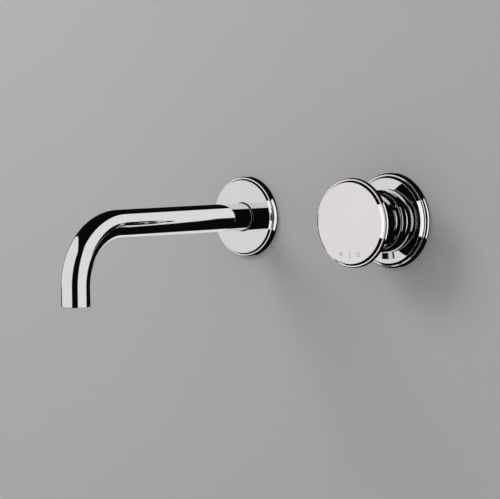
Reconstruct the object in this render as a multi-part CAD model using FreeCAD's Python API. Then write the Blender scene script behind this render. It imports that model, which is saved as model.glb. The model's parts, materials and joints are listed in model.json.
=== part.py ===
import FreeCAD, Part
import math
import os

# Concealed basin mixer in two pieces on one wall: a tube spout on the left and a
# tilt and turn control knob on the right, fed by a brass body inside the wall.
# Millimetres. X runs to the right, Y runs into the wall, Z runs up.
# The origin is where the control axis meets the finished wall plane.

V = FreeCAD.Vector
X_AXIS = V(1, 0, 0)
Y_AXIS = V(0, 1, 0)
Z_AXIS = V(0, 0, 1)

# Overall layout
AXIS_DISTANCE = 150.0
LINK_HEIGHT = 9.0
SLIP = 0.05
RUNNING_CLEARANCE = 0.05
SLIDE_CLEARANCE = 0.10

# Spout tube
TUBE_DIAMETER = 22.0
TUBE_WALL = 1.5
SPOUT_REACH = 196.0
SPOUT_DROP = 61.0
SPOUT_BEND_RADIUS = 46.0
TUBE_DEPTH_IN_WALL = 6.0
TUBE_END_ROUNDING = 0.3

# Stepped rim shared by both rosettes and the knob
ROSETTE_HEIGHT = 6.6
ROSETTE_SHELL = 2.0
ROSETTE_SIDE_FOOT = 0.7
SPOUT_ROSETTE_DIAMETER = 65.0
SPOUT_ROSETTE_FACE_DIAMETER = 59.0
SPOUT_BEVEL_WIDTH = 1.2
SPOUT_BEVEL_DEPTH = 1.6
KNOB_ROSETTE_DIAMETER = 74.0
KNOB_ROSETTE_FACE_DIAMETER = 66.0
KNOB_ROSETTE_BEVEL_WIDTH = 1.7
KNOB_ROSETTE_BEVEL_DEPTH = 2.2
CREST_WIDTH = 0.9

# Spout rosette ring and seals
TUBE_TO_ROSETTE_GAP = 0.7
SPOUT_BOSS_WALL = 5.3
RING_CORD_DIAMETER = 2.0
SEAL_LIFT = 0.2
SEAL_EDGE_GAP = 0.5
ROSETTE_BOSS_LIFT = 0.8
RING_GROOVE_DEPTH = 1.8
KNOB_BOSS_WALL = 3.8

# Knob
KNOB_DIAMETER = 68.4
KNOB_FACE_DIAMETER = 62.0
KNOB_PROJECTION = 52.0
KNOB_THICKNESS = 5.0
KNOB_BEVEL_WIDTH = 1.5
KNOB_BEVEL_DEPTH = 2.0
KNOB_BACK_ROUNDING = 0.4
KNOB_SPIGOT_LENGTH = 4.0
HUB_DIAMETER = 42.0
HUB_WALL = 1.6
HUB_WEB = 4.0
HUB_BOSS_DIAMETER = 18.0
HUB_BOSS_LENGTH = 15.0
HUB_REAR_ROUNDING = 0.8
HUB_STAND_OFF = 14.2
STEM_END_GAP = 1.0
SET_SCREW_DIAMETER = 5.0
SET_SCREW_LENGTH = 8.0
SET_SCREW_HEX = 2.5
SET_SCREW_SETBACK = 7.0
PLUG_DIAMETER = 6.0
PLUG_LENGTH = 2.4
PLUG_RECESS = 0.2

# Temperature marks engraved in the knob
MARK_DEPTH = 0.3
MARK_DROP = 23.6
MARK_SPREAD = 8.5
MARK_LINE_LENGTH = 7.0
MARK_LINE_WIDTH = 0.7
MARK_DOT_DIAMETER = 3.2
MARK_RING_DIAMETER = 3.6
MARK_RING_WIDTH = 0.7

# Sleeve and dome between rosette and knob
SLEEVE_DIAMETER = 49.2
SLEEVE_WALL = 0.95
SLEEVE_STAND_OFF = 10.2
SLEEVE_CROWN_STAND_OFF = 3.9
SLEEVE_CROWN_RADIUS = 16.0
SLEEVE_SHOULDER_RADIUS = 3.0
SLEEVE_LIP = 6.2
SLEEVE_OVERLAP = 11.0
DOME_EDGE_DIAMETER = 38.0
DOME_EDGE_STAND_OFF = 6.6
DOME_WALL = 3.4
DOME_FLANGE = 1.6
DOME_SKIRT_WALL = 2.0
DOME_STEP = 1.0
DOME_OPENING_GAP = 0.8

# Lever cartridge
TILT_RANGE = 15.0
PIVOT_DEPTH = 2.0
STEM_WIDTH = 7.0
STEM_EDGE = 0.8
STEM_BALL_DIAMETER = 6.0
STEM_NECK_DIAMETER = 4.4
INNER_ARM = 12.0
PIN_DIAMETER = 3.0
CARTRIDGE_DIAMETER = 35.0
CARTRIDGE_LENGTH = 26.0
CARTRIDGE_SHOULDER_DEPTH = 8.0
HOUSING_NECK_DIAMETER = 28.8
HOUSING_NECK_LENGTH = 10.0
HOUSING_SHOULDER = 1.9
HOUSING_WALL = 2.15
CARRIER_DIAMETER = 23.9
CARRIER_STAND_OUT = 1.0
CARRIER_FLANGE = 2.7
CARRIER_SLOT_REACH = 7.0
DRIVER_THICKNESS = 4.6
DRIVER_WIDTH = 20.0
DRIVER_HEIGHT = 16.0
DRIVER_GAP = 0.3
MOVING_DISC_DIAMETER = 22.0
MOVING_DISC_THICKNESS = 3.4
POCKET_WIDTH = 12.0
POCKET_HEIGHT = 7.2
POCKET_OFFSET = 0.8
POCKET_DEPTH = 2.0
FIXED_DISC_DIAMETER = 29.0
FIXED_DISC_THICKNESS = 3.35
GASKET_DIAMETER = 26.0
GASKET_THICKNESS = 0.6
BASE_PLUG = 5.0
BASE_SEAL_CORD = 1.7
PORT_SPREAD = 6.5
PORT_DROP = 3.5
PORT_DIAMETER = 6.4
OUTLET_PORT_RISE = 7.5
OUTLET_PORT_DIAMETER = 7.2

# Valve body in the wall
NUT_THREAD_DIAMETER = 39.0
NUT_HEX = 32.0
NUT_HEX_LENGTH = 4.0
NUT_LENGTH = 9.0
BLOCK_WIDTH = 70.0
BLOCK_HEIGHT = 44.0
BLOCK_ROUNDING = 5.0
BLOCK_CHAMBER_OVERLAP = 4.0
CHANNEL_DEPTH = 11.5
CHANNEL_DIAMETER = 8.0
OUTLET_CHANNEL_DIAMETER = 10.0
INLET_SPREAD = 20.0
INLET_BOSS_DIAMETER = 26.0
INLET_REACH = 46.0
INLET_THREAD_DEPTH = 16.0
INLET_BORE_DIAMETER = 12.0
HALF_INCH_BORE = 18.64
HALF_INCH_THREAD = 20.96

# Link pipe between valve body and spout elbow
PIPE_DIAMETER = 15.0
PIPE_WALL = 1.0
LINK_BOSS_LENGTH = 12.0
PIPE_SOCKET_DEPTH = 7.0
LINK_NUT_HEX = 24.0
LINK_NUT_LENGTH = 16.0
LINK_NUT_LIP = 3.0
OLIVE_DIAMETER = 18.6
OLIVE_LENGTH = 5.0
OLIVE_CHAMFER = 0.8

# Spout elbow and nipple in the wall
ELBOW_BLOCK_WIDTH = 30.0
ELBOW_BLOCK_LOW = 15.0
ELBOW_BLOCK_HIGH = 22.0
ELBOW_SOCKET_DIAMETER = 28.0
ELBOW_SOCKET_DEPTH = 12.0
ELBOW_THREAD_DEPTH = 18.0
ELBOW_BORE_DIAMETER = 14.0
NIPPLE_WASHER_THICKNESS = 1.5
NIPPLE_HEX = 24.0
NIPPLE_HEX_LENGTH = 4.0
NIPPLE_THREAD_LENGTH = 14.0
NIPPLE_REACH = 30.0
NIPPLE_BORE_DIAMETER = 12.0
NIPPLE_FIT = 0.1
NIPPLE_RING_CORD = 1.44
NIPPLE_GROOVE_WIDTH = 2.2
NIPPLE_RING_DEPTHS = (4.0, 22.0)

# Aerator in the outlet
AERATOR_RECESS = 1.0
AERATOR_LENGTH = 10.0
AERATOR_WALL = 1.5
AERATOR_LIP = 1.4
AERATOR_LIP_THICKNESS = 1.2
AERATOR_INSERT_LENGTH = 7.0
AERATOR_HOLE_DIAMETER = 1.5
AERATOR_HOLE_SPACING = 2.5
AERATOR_WASHER_THICKNESS = 1.6

# Mounting plate and screws
PLATE_THICKNESS = 3.0
PLATE_HEIGHT = 64.0
PLATE_LEFT_OVERHANG = 40.0
PLATE_RIGHT_OVERHANG = 15.0
PLATE_TO_INLETS = 0.5
PLATE_CORNER = 6.0
FIXING_HOLE_DIAMETER = 6.5
FIXING_INSET_X = 12.0
FIXING_INSET_Z = 10.0
PLATE_SCREW_DIAMETER = 5.0
PLATE_SCREW_GRIP = 8.0
PLATE_SCREW_HEAD_DIAMETER = 9.0
PLATE_SCREW_HEAD_HEIGHT = 2.5
BODY_SCREW_SPREAD = 28.0
BODY_SCREW_HEIGHT = 15.0
ELBOW_SCREW_SPREAD = 9.0
ELBOW_SCREW_HEIGHT = 17.0
ELBOW_SCREW_LOW = -11.0

# Positions that follow from the sizes above
SPOUT_X = -AXIS_DISTANCE
TUBE_R = TUBE_DIAMETER / 2
TUBE_BORE_R = TUBE_R - TUBE_WALL
ROSETTE_FACE_Y = -ROSETTE_HEIGHT
ROSETTE_RING_Y = (ROSETTE_FACE_Y - ROSETTE_BOSS_LIFT) / 2
SPOUT_ROSETTE_BORE_R = TUBE_R + TUBE_TO_ROSETTE_GAP
KNOB_FACE_Y = -KNOB_PROJECTION
KNOB_BACK_Y = KNOB_FACE_Y + KNOB_THICKNESS
HUB_R = HUB_DIAMETER / 2
HUB_BORE_R = HUB_R - HUB_WALL
HUB_REAR_Y = ROSETTE_FACE_Y - HUB_STAND_OFF
HUB_WEB_FRONT_Y = KNOB_BACK_Y + KNOB_SPIGOT_LENGTH
HUB_WEB_REAR_Y = HUB_WEB_FRONT_Y + HUB_WEB
SET_SCREW_Y = HUB_WEB_REAR_Y + SET_SCREW_SETBACK
SLEEVE_CROWN_R = SLEEVE_DIAMETER / 2
SLEEVE_CROWN_Y = ROSETTE_FACE_Y - SLEEVE_CROWN_STAND_OFF
SLEEVE_CENTRE_R = SLEEVE_CROWN_R - SLEEVE_CROWN_RADIUS
SLEEVE_R = SLEEVE_CENTRE_R + math.sqrt(SLEEVE_CROWN_RADIUS ** 2 - SLEEVE_CROWN_STAND_OFF ** 2)
SLEEVE_BORE_R = SLEEVE_R - SLEEVE_WALL
SLEEVE_FRONT_Y = ROSETTE_FACE_Y - SLEEVE_STAND_OFF
SLEEVE_LIP_Y = SLEEVE_FRONT_Y + SLEEVE_LIP
KNOB_ROSETTE_BORE_R = SLEEVE_R + SLIDE_CLEARANCE
DOME_EDGE_R = DOME_EDGE_DIAMETER / 2
DOME_EDGE_Y = ROSETTE_FACE_Y - DOME_EDGE_STAND_OFF
PIVOT_Y = PIVOT_DEPTH
DOME_R = math.hypot(DOME_EDGE_R, PIVOT_Y - DOME_EDGE_Y)
DOME_INNER_R = DOME_R - DOME_WALL
TILT = math.radians(TILT_RANGE)
STEM_HALF = STEM_WIDTH / 2
STEM_CORNER = STEM_HALF * math.sqrt(2)
DOME_OPENING_R = DOME_R * math.sin(TILT) + STEM_CORNER * math.cos(TILT) + DOME_OPENING_GAP
SHOULDER_Y = CARTRIDGE_SHOULDER_DEPTH
FLOOR_Y = SHOULDER_Y + CARTRIDGE_LENGTH
BODY_FRONT_Y = SHOULDER_Y - NUT_LENGTH
BODY_R = SLEEVE_BORE_R - SLIP
CARTRIDGE_R = CARTRIDGE_DIAMETER / 2
CARRIER_R = CARRIER_DIAMETER / 2
HOUSING_FRONT_Y = SHOULDER_Y - HOUSING_NECK_LENGTH
HOUSING_BORE_R = CARTRIDGE_R - HOUSING_WALL
FLANGE_Y = SHOULDER_Y + HOUSING_SHOULDER + SLIDE_CLEARANCE
FLANGE_BACK_Y = FLANGE_Y + CARRIER_FLANGE
FLANGE_R = HOUSING_BORE_R - SLIDE_CLEARANCE
BALL_Y = PIVOT_Y + INNER_ARM
BALL_R = STEM_BALL_DIAMETER / 2
DRIVER_Y = FLANGE_BACK_Y + DRIVER_GAP
DRIVER_BACK_Y = DRIVER_Y + DRIVER_THICKNESS
MOVING_DISC_BACK_Y = DRIVER_BACK_Y + MOVING_DISC_THICKNESS
FIXED_DISC_Y = MOVING_DISC_BACK_Y + RUNNING_CLEARANCE
FIXED_DISC_BACK_Y = FIXED_DISC_Y + FIXED_DISC_THICKNESS
BASE_FRONT_Y = FIXED_DISC_BACK_Y + GASKET_THICKNESS
HOUSING_BACK_Y = BASE_FRONT_Y + BASE_PLUG
CHANNEL_Y = FLOOR_Y + CHANNEL_DEPTH
BLOCK_BACK_Y = CHANNEL_Y + INLET_BOSS_DIAMETER / 2 + PLATE_TO_INLETS
BLOCK_FRONT_Y = FLOOR_Y - BLOCK_CHAMBER_OVERLAP
THREAD_R = HALF_INCH_THREAD / 2
THREAD_BORE_R = HALF_INCH_BORE / 2
PIPE_R = PIPE_DIAMETER / 2
BODY_SIDE_X = -BLOCK_WIDTH / 2
BODY_BOSS_X = BODY_SIDE_X - LINK_BOSS_LENGTH
ELBOW_SIDE_X = SPOUT_X + ELBOW_BLOCK_WIDTH / 2
ELBOW_BOSS_X = ELBOW_SIDE_X + LINK_BOSS_LENGTH
LINK_ENDS = ((BODY_BOSS_X, -1), (ELBOW_BOSS_X, 1))
NUT_OVER_BOSS = LINK_NUT_LENGTH - LINK_NUT_LIP - OLIVE_LENGTH
NIPPLE_FLANGE_BACK_Y = ELBOW_SOCKET_DEPTH - NIPPLE_WASHER_THICKNESS
NIPPLE_FLANGE_Y = NIPPLE_FLANGE_BACK_Y - NIPPLE_HEX_LENGTH
NIPPLE_R = TUBE_BORE_R - NIPPLE_FIT
NIPPLE_GROOVE_R = TUBE_BORE_R - SLIP - NIPPLE_RING_CORD
NIPPLE_SCREW_SEAT_Z = -(NIPPLE_R + NIPPLE_BORE_DIAMETER / 2) / 2
SPOUT_SCREW_Y = ROSETTE_FACE_Y - SET_SCREW_SETBACK
OUTLET_Z = -SPOUT_DROP
AERATOR_LOW_Z = OUTLET_Z + AERATOR_RECESS
AERATOR_TOP_Z = AERATOR_LOW_Z + AERATOR_LENGTH
AERATOR_R = TUBE_BORE_R - SLIP
PLATE_BACK_Y = BLOCK_BACK_Y + PLATE_THICKNESS
PLATE_SCREW_R = PLATE_SCREW_DIAMETER / 2
PLATE_SCREW_TIP_Y = BLOCK_BACK_Y - PLATE_SCREW_GRIP
PLATE_SCREW_HEAD_Y = PLATE_BACK_Y + PLATE_SCREW_HEAD_HEIGHT
PLATE_LEFT_X = SPOUT_X - PLATE_LEFT_OVERHANG
PLATE_RIGHT_X = BLOCK_WIDTH / 2 + PLATE_RIGHT_OVERHANG
FIXING_LEFT_X = PLATE_LEFT_X + FIXING_INSET_X
FIXING_RIGHT_X = PLATE_RIGHT_X - FIXING_INSET_X
FIXING_Z = PLATE_HEIGHT / 2 - FIXING_INSET_Z
PLATE_SCREWS = (
    (-BODY_SCREW_SPREAD, BODY_SCREW_HEIGHT),
    (BODY_SCREW_SPREAD, BODY_SCREW_HEIGHT),
    (SPOUT_X - ELBOW_SCREW_SPREAD, ELBOW_SCREW_HEIGHT),
    (SPOUT_X + ELBOW_SCREW_SPREAD, ELBOW_SCREW_LOW),
)


def along_y(radius, low, high, x=0.0, z=0.0):
    """Cylinder whose axis runs out of the wall."""
    return Part.makeCylinder(radius, high - low, V(x, low, z), Y_AXIS)


def along_x(radius, low, high, y=0.0, z=0.0):
    """Cylinder whose axis runs from left to right."""
    return Part.makeCylinder(radius, high - low, V(low, y, z), X_AXIS)


def along_z(radius, low, high, x=0.0, y=0.0):
    """Cylinder whose axis runs upwards."""
    return Part.makeCylinder(radius, high - low, V(x, y, low), Z_AXIS)


def along_link(radius, low, high):
    """Cylinder on the axis of the link pipe."""
    return along_x(radius, low, high, CHANNEL_Y, LINK_HEIGHT)


def block(x_range, y_range, z_range):
    """Box between two corners."""
    size = (x_range[1] - x_range[0], y_range[1] - y_range[0], z_range[1] - z_range[0])
    return Part.makeBox(size[0], size[1], size[2], V(x_range[0], y_range[0], z_range[0]))


def hexagon(across_flats, start, direction, length, flat_side):
    """Hexagonal bar from start along direction, with one flat facing flat_side."""
    corner_radius = across_flats / math.sqrt(3)
    points = []
    for k in range(6):
        turn = FreeCAD.Rotation(direction, 30 + 60 * k)
        points.append(start + turn.multVec(flat_side) * corner_radius)
    points.append(points[0])
    return Part.Face(Part.makePolygon(points)).extrude(direction * length)


def turned(outline, x=0.0):
    """Solid turned about an axis out of the wall.

    The outline goes round the section once. Two numbers are a corner at that radius
    and depth. Four numbers are an arc, through the first point to the second.
    """
    edges = []
    here = V(outline[0][0], outline[0][1], 0)
    for item in list(outline[1:]) + [outline[0][:2]]:
        there = V(item[-2], item[-1], 0)
        if len(item) == 4:
            edges.append(Part.Arc(here, V(item[0], item[1], 0), there).toShape())
        elif here.distanceToPoint(there) > 1e-7:
            edges.append(Part.LineSegment(here, there).toShape())
        here = there
    section = Part.Face(Part.Wire(edges))
    solid = section.revolve(V(0, 0, 0), Y_AXIS, 360)
    solid = Part.Solid(solid.Shells[0]) if solid.ShapeType != "Solid" else solid
    if solid.Volume < 0:
        solid.reverse()
    solid.translate(V(x, 0, 0))
    return solid


def ring(outer, inner, low, high, x=0.0, z=0.0):
    """Tube whose axis runs out of the wall."""
    return along_y(outer, low, high, x, z).cut(along_y(inner, low - 1, high + 1, x, z))


def cord_ring(centre_radius, cord_radius, y, x=0.0, z=0.0):
    """Round sealing ring about an axis out of the wall."""
    return Part.makeTorus(centre_radius, cord_radius, V(x, y, z), Y_AXIS)


def round_circles(shape, rounding, circles):
    """Round the circular edges that have these radii and depths, about an axis out of the wall."""
    chosen = []
    for edge in shape.Edges:
        curve = edge.Curve
        if not isinstance(curve, Part.Circle):
            continue
        for radius, y in circles:
            same = abs(curve.Radius - radius) < 1e-4 and abs(curve.Center.y - y) < 1e-4
            if same and abs(abs(curve.Axis.y) - 1) < 1e-6:
                chosen.append(edge)
    return shape.makeFillet(rounding, chosen)


def crowned_side(edge_r, edge_y, foot_r, foot_y):
    """Arc from the crest's edge down to the foot, upright where it meets the foot."""
    width = foot_r - edge_r
    height = foot_y - edge_y
    radius = (width ** 2 + height ** 2) / (2 * width)
    half_turn = math.asin(height / radius) / 2
    middle_r = foot_r - radius * (1 - math.cos(half_turn))
    middle_y = foot_y - radius * math.sin(half_turn)
    return (middle_r, middle_y, foot_r, foot_y)


def stepped_rim(outer_r, face_r, face_y, bevel_width, bevel_depth, foot_y):
    """Outline from the edge of the flat face over bevel and crest to the foot of the side."""
    crest_r = face_r + bevel_width
    crest_y = face_y + bevel_depth
    edge_r = crest_r + CREST_WIDTH
    return [
        (face_r, face_y),
        (crest_r, crest_y),
        (edge_r, crest_y),
        crowned_side(edge_r, crest_y, outer_r, foot_y),
    ]


def rosette(x, outer_r, face_r, bevel_width, bevel_depth, bore_r, boss_wall):
    """Wall rosette: flat face, stepped rim, hollow back and a grooved boss for its ring."""
    rim = stepped_rim(outer_r, face_r, ROSETTE_FACE_Y, bevel_width, bevel_depth, -ROSETTE_SIDE_FOOT)
    recess_y = ROSETTE_FACE_Y + bevel_depth + ROSETTE_SHELL
    boss_r = bore_r + boss_wall
    groove_r = bore_r + RING_GROOVE_DEPTH
    groove_front_y = ROSETTE_RING_Y - RING_CORD_DIAMETER / 2
    groove_back_y = ROSETTE_RING_Y + RING_CORD_DIAMETER / 2
    outline = [(bore_r, ROSETTE_FACE_Y)] + rim
    outline += [
        (outer_r, 0),
        (outer_r - ROSETTE_SHELL, 0),
        (outer_r - ROSETTE_SHELL, recess_y),
        (boss_r, recess_y),
        (boss_r, -ROSETTE_BOSS_LIFT),
        (bore_r, -ROSETTE_BOSS_LIFT),
        (bore_r, groove_back_y),
        (groove_r, groove_back_y),
        (groove_r, groove_front_y),
        (bore_r, groove_front_y),
    ]
    return turned(outline, x)


def rosette_ring(x, inner_r, bore_r):
    """Round ring between a rosette's groove and the piece that it slides over."""
    outer_r = bore_r + RING_GROOVE_DEPTH - SLIP
    cord_r = min(outer_r - inner_r - SLIP, RING_CORD_DIAMETER) / 2
    return cord_ring((outer_r + inner_r + SLIP) / 2, cord_r, ROSETTE_RING_Y, x)


def make_spout_tube():
    """Round tube: straight out of the wall, one bend down, and a square-cut outlet."""
    bend_start_y = -(SPOUT_REACH - SPOUT_BEND_RADIUS)
    run = ring(TUBE_R, TUBE_BORE_R, bend_start_y, TUBE_DEPTH_IN_WALL, SPOUT_X)
    section_centre = V(SPOUT_X, bend_start_y, 0)
    outer = Part.Wire(Part.makeCircle(TUBE_R, section_centre, Y_AXIS))
    inner = Part.Wire(Part.makeCircle(TUBE_BORE_R, section_centre, Y_AXIS))
    bend_centre = V(SPOUT_X, bend_start_y, -SPOUT_BEND_RADIUS)
    bend = Part.Face(outer).revolve(bend_centre, X_AXIS, 90)
    bend = bend.cut(Part.Face(inner).revolve(bend_centre, X_AXIS, 90))
    leg = along_z(TUBE_R, OUTLET_Z, -SPOUT_BEND_RADIUS, SPOUT_X, -SPOUT_REACH)
    leg = leg.cut(along_z(TUBE_BORE_R, OUTLET_Z - 1, -SPOUT_BEND_RADIUS + 1, SPOUT_X, -SPOUT_REACH))
    tube = run.fuse([bend, leg]).removeSplitter()
    ends = [e for e in tube.Edges if abs(e.BoundBox.ZMax - OUTLET_Z) < 1e-4]
    tube = tube.makeFillet(TUBE_END_ROUNDING, ends)
    hole = along_z(SET_SCREW_DIAMETER / 2 + SLIP, -TUBE_R - 1, 0, SPOUT_X, SPOUT_SCREW_Y)
    return tube.cut(hole)


def set_screw(x, y, low_z, top_z, socket_depth):
    """Headless screw that points up, with a hexagon socket in its lower end."""
    screw = along_z(SET_SCREW_DIAMETER / 2, low_z, top_z, x, y)
    return screw.cut(hexagon(SET_SCREW_HEX, V(x, y, low_z), Z_AXIS, socket_depth, X_AXIS))


def make_spout_set_screw():
    """Short screw that holds the spout on its nipple from below."""
    low_z = -TUBE_R + SLIP
    return set_screw(SPOUT_X, SPOUT_SCREW_Y, low_z, NIPPLE_SCREW_SEAT_Z, (NIPPLE_SCREW_SEAT_Z - low_z) / 2)


def make_nipple():
    """Threaded nipple with a hexagon and a grooved stub that the spout slides over."""
    thread_end_y = ELBOW_SOCKET_DEPTH + NIPPLE_THREAD_LENGTH
    thread = along_y(THREAD_BORE_R - SLIP, NIPPLE_FLANGE_BACK_Y, thread_end_y, SPOUT_X)
    flange = hexagon(NIPPLE_HEX, V(SPOUT_X, NIPPLE_FLANGE_Y, 0), Y_AXIS, NIPPLE_HEX_LENGTH, Z_AXIS)
    stub = along_y(NIPPLE_R, -NIPPLE_REACH, NIPPLE_FLANGE_Y, SPOUT_X)
    for depth in NIPPLE_RING_DEPTHS:
        half = NIPPLE_GROOVE_WIDTH / 2
        stub = stub.cut(ring(TUBE_R, NIPPLE_GROOVE_R, -depth - half, -depth + half, SPOUT_X))
    nipple = thread.fuse([flange, stub]).removeSplitter()
    nipple = nipple.cut(along_y(NIPPLE_BORE_DIAMETER / 2, -NIPPLE_REACH - 1, thread_end_y + 1, SPOUT_X))
    return nipple.cut(along_z(SET_SCREW_DIAMETER / 2, -TUBE_R, NIPPLE_SCREW_SEAT_Z, SPOUT_X, SPOUT_SCREW_Y))


def make_nipple_rings():
    """Two round rings that seal the spout on its nipple."""
    cord_r = NIPPLE_RING_CORD / 2
    return Part.makeCompound(
        [cord_ring(NIPPLE_GROOVE_R + cord_r, cord_r, -depth, SPOUT_X) for depth in NIPPLE_RING_DEPTHS]
    )


def make_aerator_shell():
    """Recessed ring in the outlet, with a lip that carries the insert."""
    shell = along_z(AERATOR_R, AERATOR_LOW_Z, AERATOR_TOP_Z, SPOUT_X, -SPOUT_REACH)
    inner_r = AERATOR_R - AERATOR_WALL
    lip_top = AERATOR_LOW_Z + AERATOR_LIP_THICKNESS
    shell = shell.cut(along_z(inner_r, lip_top, AERATOR_TOP_Z + 1, SPOUT_X, -SPOUT_REACH))
    return shell.cut(along_z(inner_r - AERATOR_LIP, AERATOR_LOW_Z - 1, lip_top + 1, SPOUT_X, -SPOUT_REACH))


def make_aerator_insert():
    """Plastic flow straightener with a honeycomb of round holes."""
    low = AERATOR_LOW_Z + AERATOR_LIP_THICKNESS
    high = low + AERATOR_INSERT_LENGTH
    insert_r = AERATOR_R - AERATOR_WALL - SLIP
    insert = along_z(insert_r, low, high, SPOUT_X, -SPOUT_REACH)
    holes = []
    rows = int(insert_r / AERATOR_HOLE_SPACING) + 1
    for row in range(-rows, rows + 1):
        for column in range(-rows, rows + 1):
            dx = (column + row / 2) * AERATOR_HOLE_SPACING
            dy = row * AERATOR_HOLE_SPACING * math.sqrt(3) / 2
            if math.hypot(dx, dy) < insert_r - AERATOR_HOLE_DIAMETER:
                x = SPOUT_X + dx
                y = dy - SPOUT_REACH
                holes.append(along_z(AERATOR_HOLE_DIAMETER / 2, low - 1, high + 1, x, y))
    return insert.cut(Part.makeCompound(holes))


def make_aerator_washer():
    """Rubber washer on top of the aerator."""
    top = AERATOR_TOP_Z + AERATOR_WASHER_THICKNESS
    washer = along_z(AERATOR_R, AERATOR_TOP_Z, top, SPOUT_X, -SPOUT_REACH)
    return washer.cut(along_z(AERATOR_R - AERATOR_WALL, AERATOR_TOP_Z - 1, top + 1, SPOUT_X, -SPOUT_REACH))


def make_spout_rosette():
    """Thin rosette that the spout passes through."""
    return rosette(
        SPOUT_X, SPOUT_ROSETTE_DIAMETER / 2, SPOUT_ROSETTE_FACE_DIAMETER / 2,
        SPOUT_BEVEL_WIDTH, SPOUT_BEVEL_DEPTH, SPOUT_ROSETTE_BORE_R, SPOUT_BOSS_WALL,
    )


def make_wall_seal(x, outer_r, bevel_depth, boss_r):
    """Flat foam ring in a rosette's hollow back."""
    front_y = ROSETTE_FACE_Y + bevel_depth + ROSETTE_SHELL
    return ring(outer_r - ROSETTE_SHELL - SEAL_EDGE_GAP, boss_r + SEAL_EDGE_GAP, front_y, -SEAL_LIFT, x)


def make_knob_rosette():
    """Rosette round the control sleeve."""
    return rosette(
        0.0, KNOB_ROSETTE_DIAMETER / 2, KNOB_ROSETTE_FACE_DIAMETER / 2,
        KNOB_ROSETTE_BEVEL_WIDTH, KNOB_ROSETTE_BEVEL_DEPTH, KNOB_ROSETTE_BORE_R, KNOB_BOSS_WALL,
    )


def on_arc(centre_r, centre_y, radius, turn):
    """Point of an arc in a turned outline; turn runs from outwards, at 0, to the front, at 90 degrees."""
    return (centre_r + radius * math.cos(turn), centre_y - radius * math.sin(turn))


def make_sleeve():
    """Chromed sleeve over the valve body's neck, with crowned side, rounded shoulder and front lip."""
    shoulder_y = SLEEVE_FRONT_Y + SLEEVE_SHOULDER_RADIUS
    centre_distance = SLEEVE_CROWN_RADIUS - SLEEVE_SHOULDER_RADIUS
    meet = math.asin((SLEEVE_CROWN_Y - shoulder_y) / centre_distance)
    shoulder_r = SLEEVE_CENTRE_R + centre_distance * math.cos(meet)
    foot = math.asin(SLEEVE_CROWN_STAND_OFF / SLEEVE_CROWN_RADIUS)
    half_front = (meet + math.pi / 2) / 2
    bore_r = DOME_EDGE_R + SLIP
    back_y = BODY_FRONT_Y + SLEEVE_OVERLAP
    side = (SLEEVE_CENTRE_R, SLEEVE_CROWN_Y, SLEEVE_CROWN_RADIUS)
    shoulder = (shoulder_r, shoulder_y, SLEEVE_SHOULDER_RADIUS)
    return turned([
        (bore_r, SLEEVE_FRONT_Y),
        (shoulder_r, SLEEVE_FRONT_Y),
        on_arc(*shoulder, half_front) + on_arc(*side, meet),
        on_arc(*side, (meet - foot) / 2) + (SLEEVE_R, ROSETTE_FACE_Y),
        (SLEEVE_R, back_y),
        (SLEEVE_BORE_R, back_y),
        (SLEEVE_BORE_R, SLEEVE_LIP_Y),
        (bore_r, SLEEVE_LIP_Y),
    ])


def sphere_depth(radius, r):
    """Depth of a point of a sphere about the pivot, in front of it, at radius r from the axis."""
    return PIVOT_Y - math.sqrt(radius ** 2 - r ** 2)


def make_dome_cap():
    """Dome round the pivot that hides the cartridge behind the knob and lets the stem swing."""
    flange_r = SLEEVE_BORE_R - SLIP
    skirt_r = flange_r - DOME_SKIRT_WALL
    step_y = SLEEVE_LIP_Y + DOME_FLANGE + DOME_STEP
    step_r = math.sqrt(DOME_INNER_R ** 2 - (PIVOT_Y - step_y) ** 2)
    outer_middle_r = (DOME_OPENING_R + DOME_EDGE_R) / 2
    inner_middle_r = (DOME_OPENING_R + step_r) / 2
    return turned([
        (DOME_OPENING_R, sphere_depth(DOME_R, DOME_OPENING_R)),
        (outer_middle_r, sphere_depth(DOME_R, outer_middle_r), DOME_EDGE_R, DOME_EDGE_Y),
        (DOME_EDGE_R, SLEEVE_LIP_Y),
        (flange_r, SLEEVE_LIP_Y),
        (flange_r, BODY_FRONT_Y),
        (skirt_r, BODY_FRONT_Y),
        (skirt_r, step_y),
        (step_r, step_y),
        (inner_middle_r, sphere_depth(DOME_INNER_R, inner_middle_r),
         DOME_OPENING_R, sphere_depth(DOME_INNER_R, DOME_OPENING_R)),
    ])


def make_cartridge_nut():
    """Ring nut that presses the cartridge into the valve body."""
    bore_r = HOUSING_NECK_DIAMETER / 2 + SLIDE_CLEARANCE
    thread = along_y(NUT_THREAD_DIAMETER / 2 - SLIP, BODY_FRONT_Y, SHOULDER_Y)
    head = hexagon(NUT_HEX, V(0, BODY_FRONT_Y - NUT_HEX_LENGTH, 0), Y_AXIS, NUT_HEX_LENGTH, Z_AXIS)
    nut = thread.fuse(head).removeSplitter()
    return nut.cut(along_y(bore_r, BODY_FRONT_Y - 2 * NUT_HEX_LENGTH, SHOULDER_Y + 1))


def make_cartridge_housing():
    """Plastic housing that the lever carrier turns in."""
    neck_bore_r = CARRIER_R + RUNNING_CLEARANCE
    inner_y = SHOULDER_Y + HOUSING_SHOULDER
    return turned([
        (neck_bore_r, HOUSING_FRONT_Y),
        (HOUSING_NECK_DIAMETER / 2, HOUSING_FRONT_Y),
        (HOUSING_NECK_DIAMETER / 2, SHOULDER_Y),
        (CARTRIDGE_R, SHOULDER_Y),
        (CARTRIDGE_R, HOUSING_BACK_Y),
        (HOUSING_BORE_R, HOUSING_BACK_Y),
        (HOUSING_BORE_R, inner_y),
        (neck_bore_r, inner_y),
    ])


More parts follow.
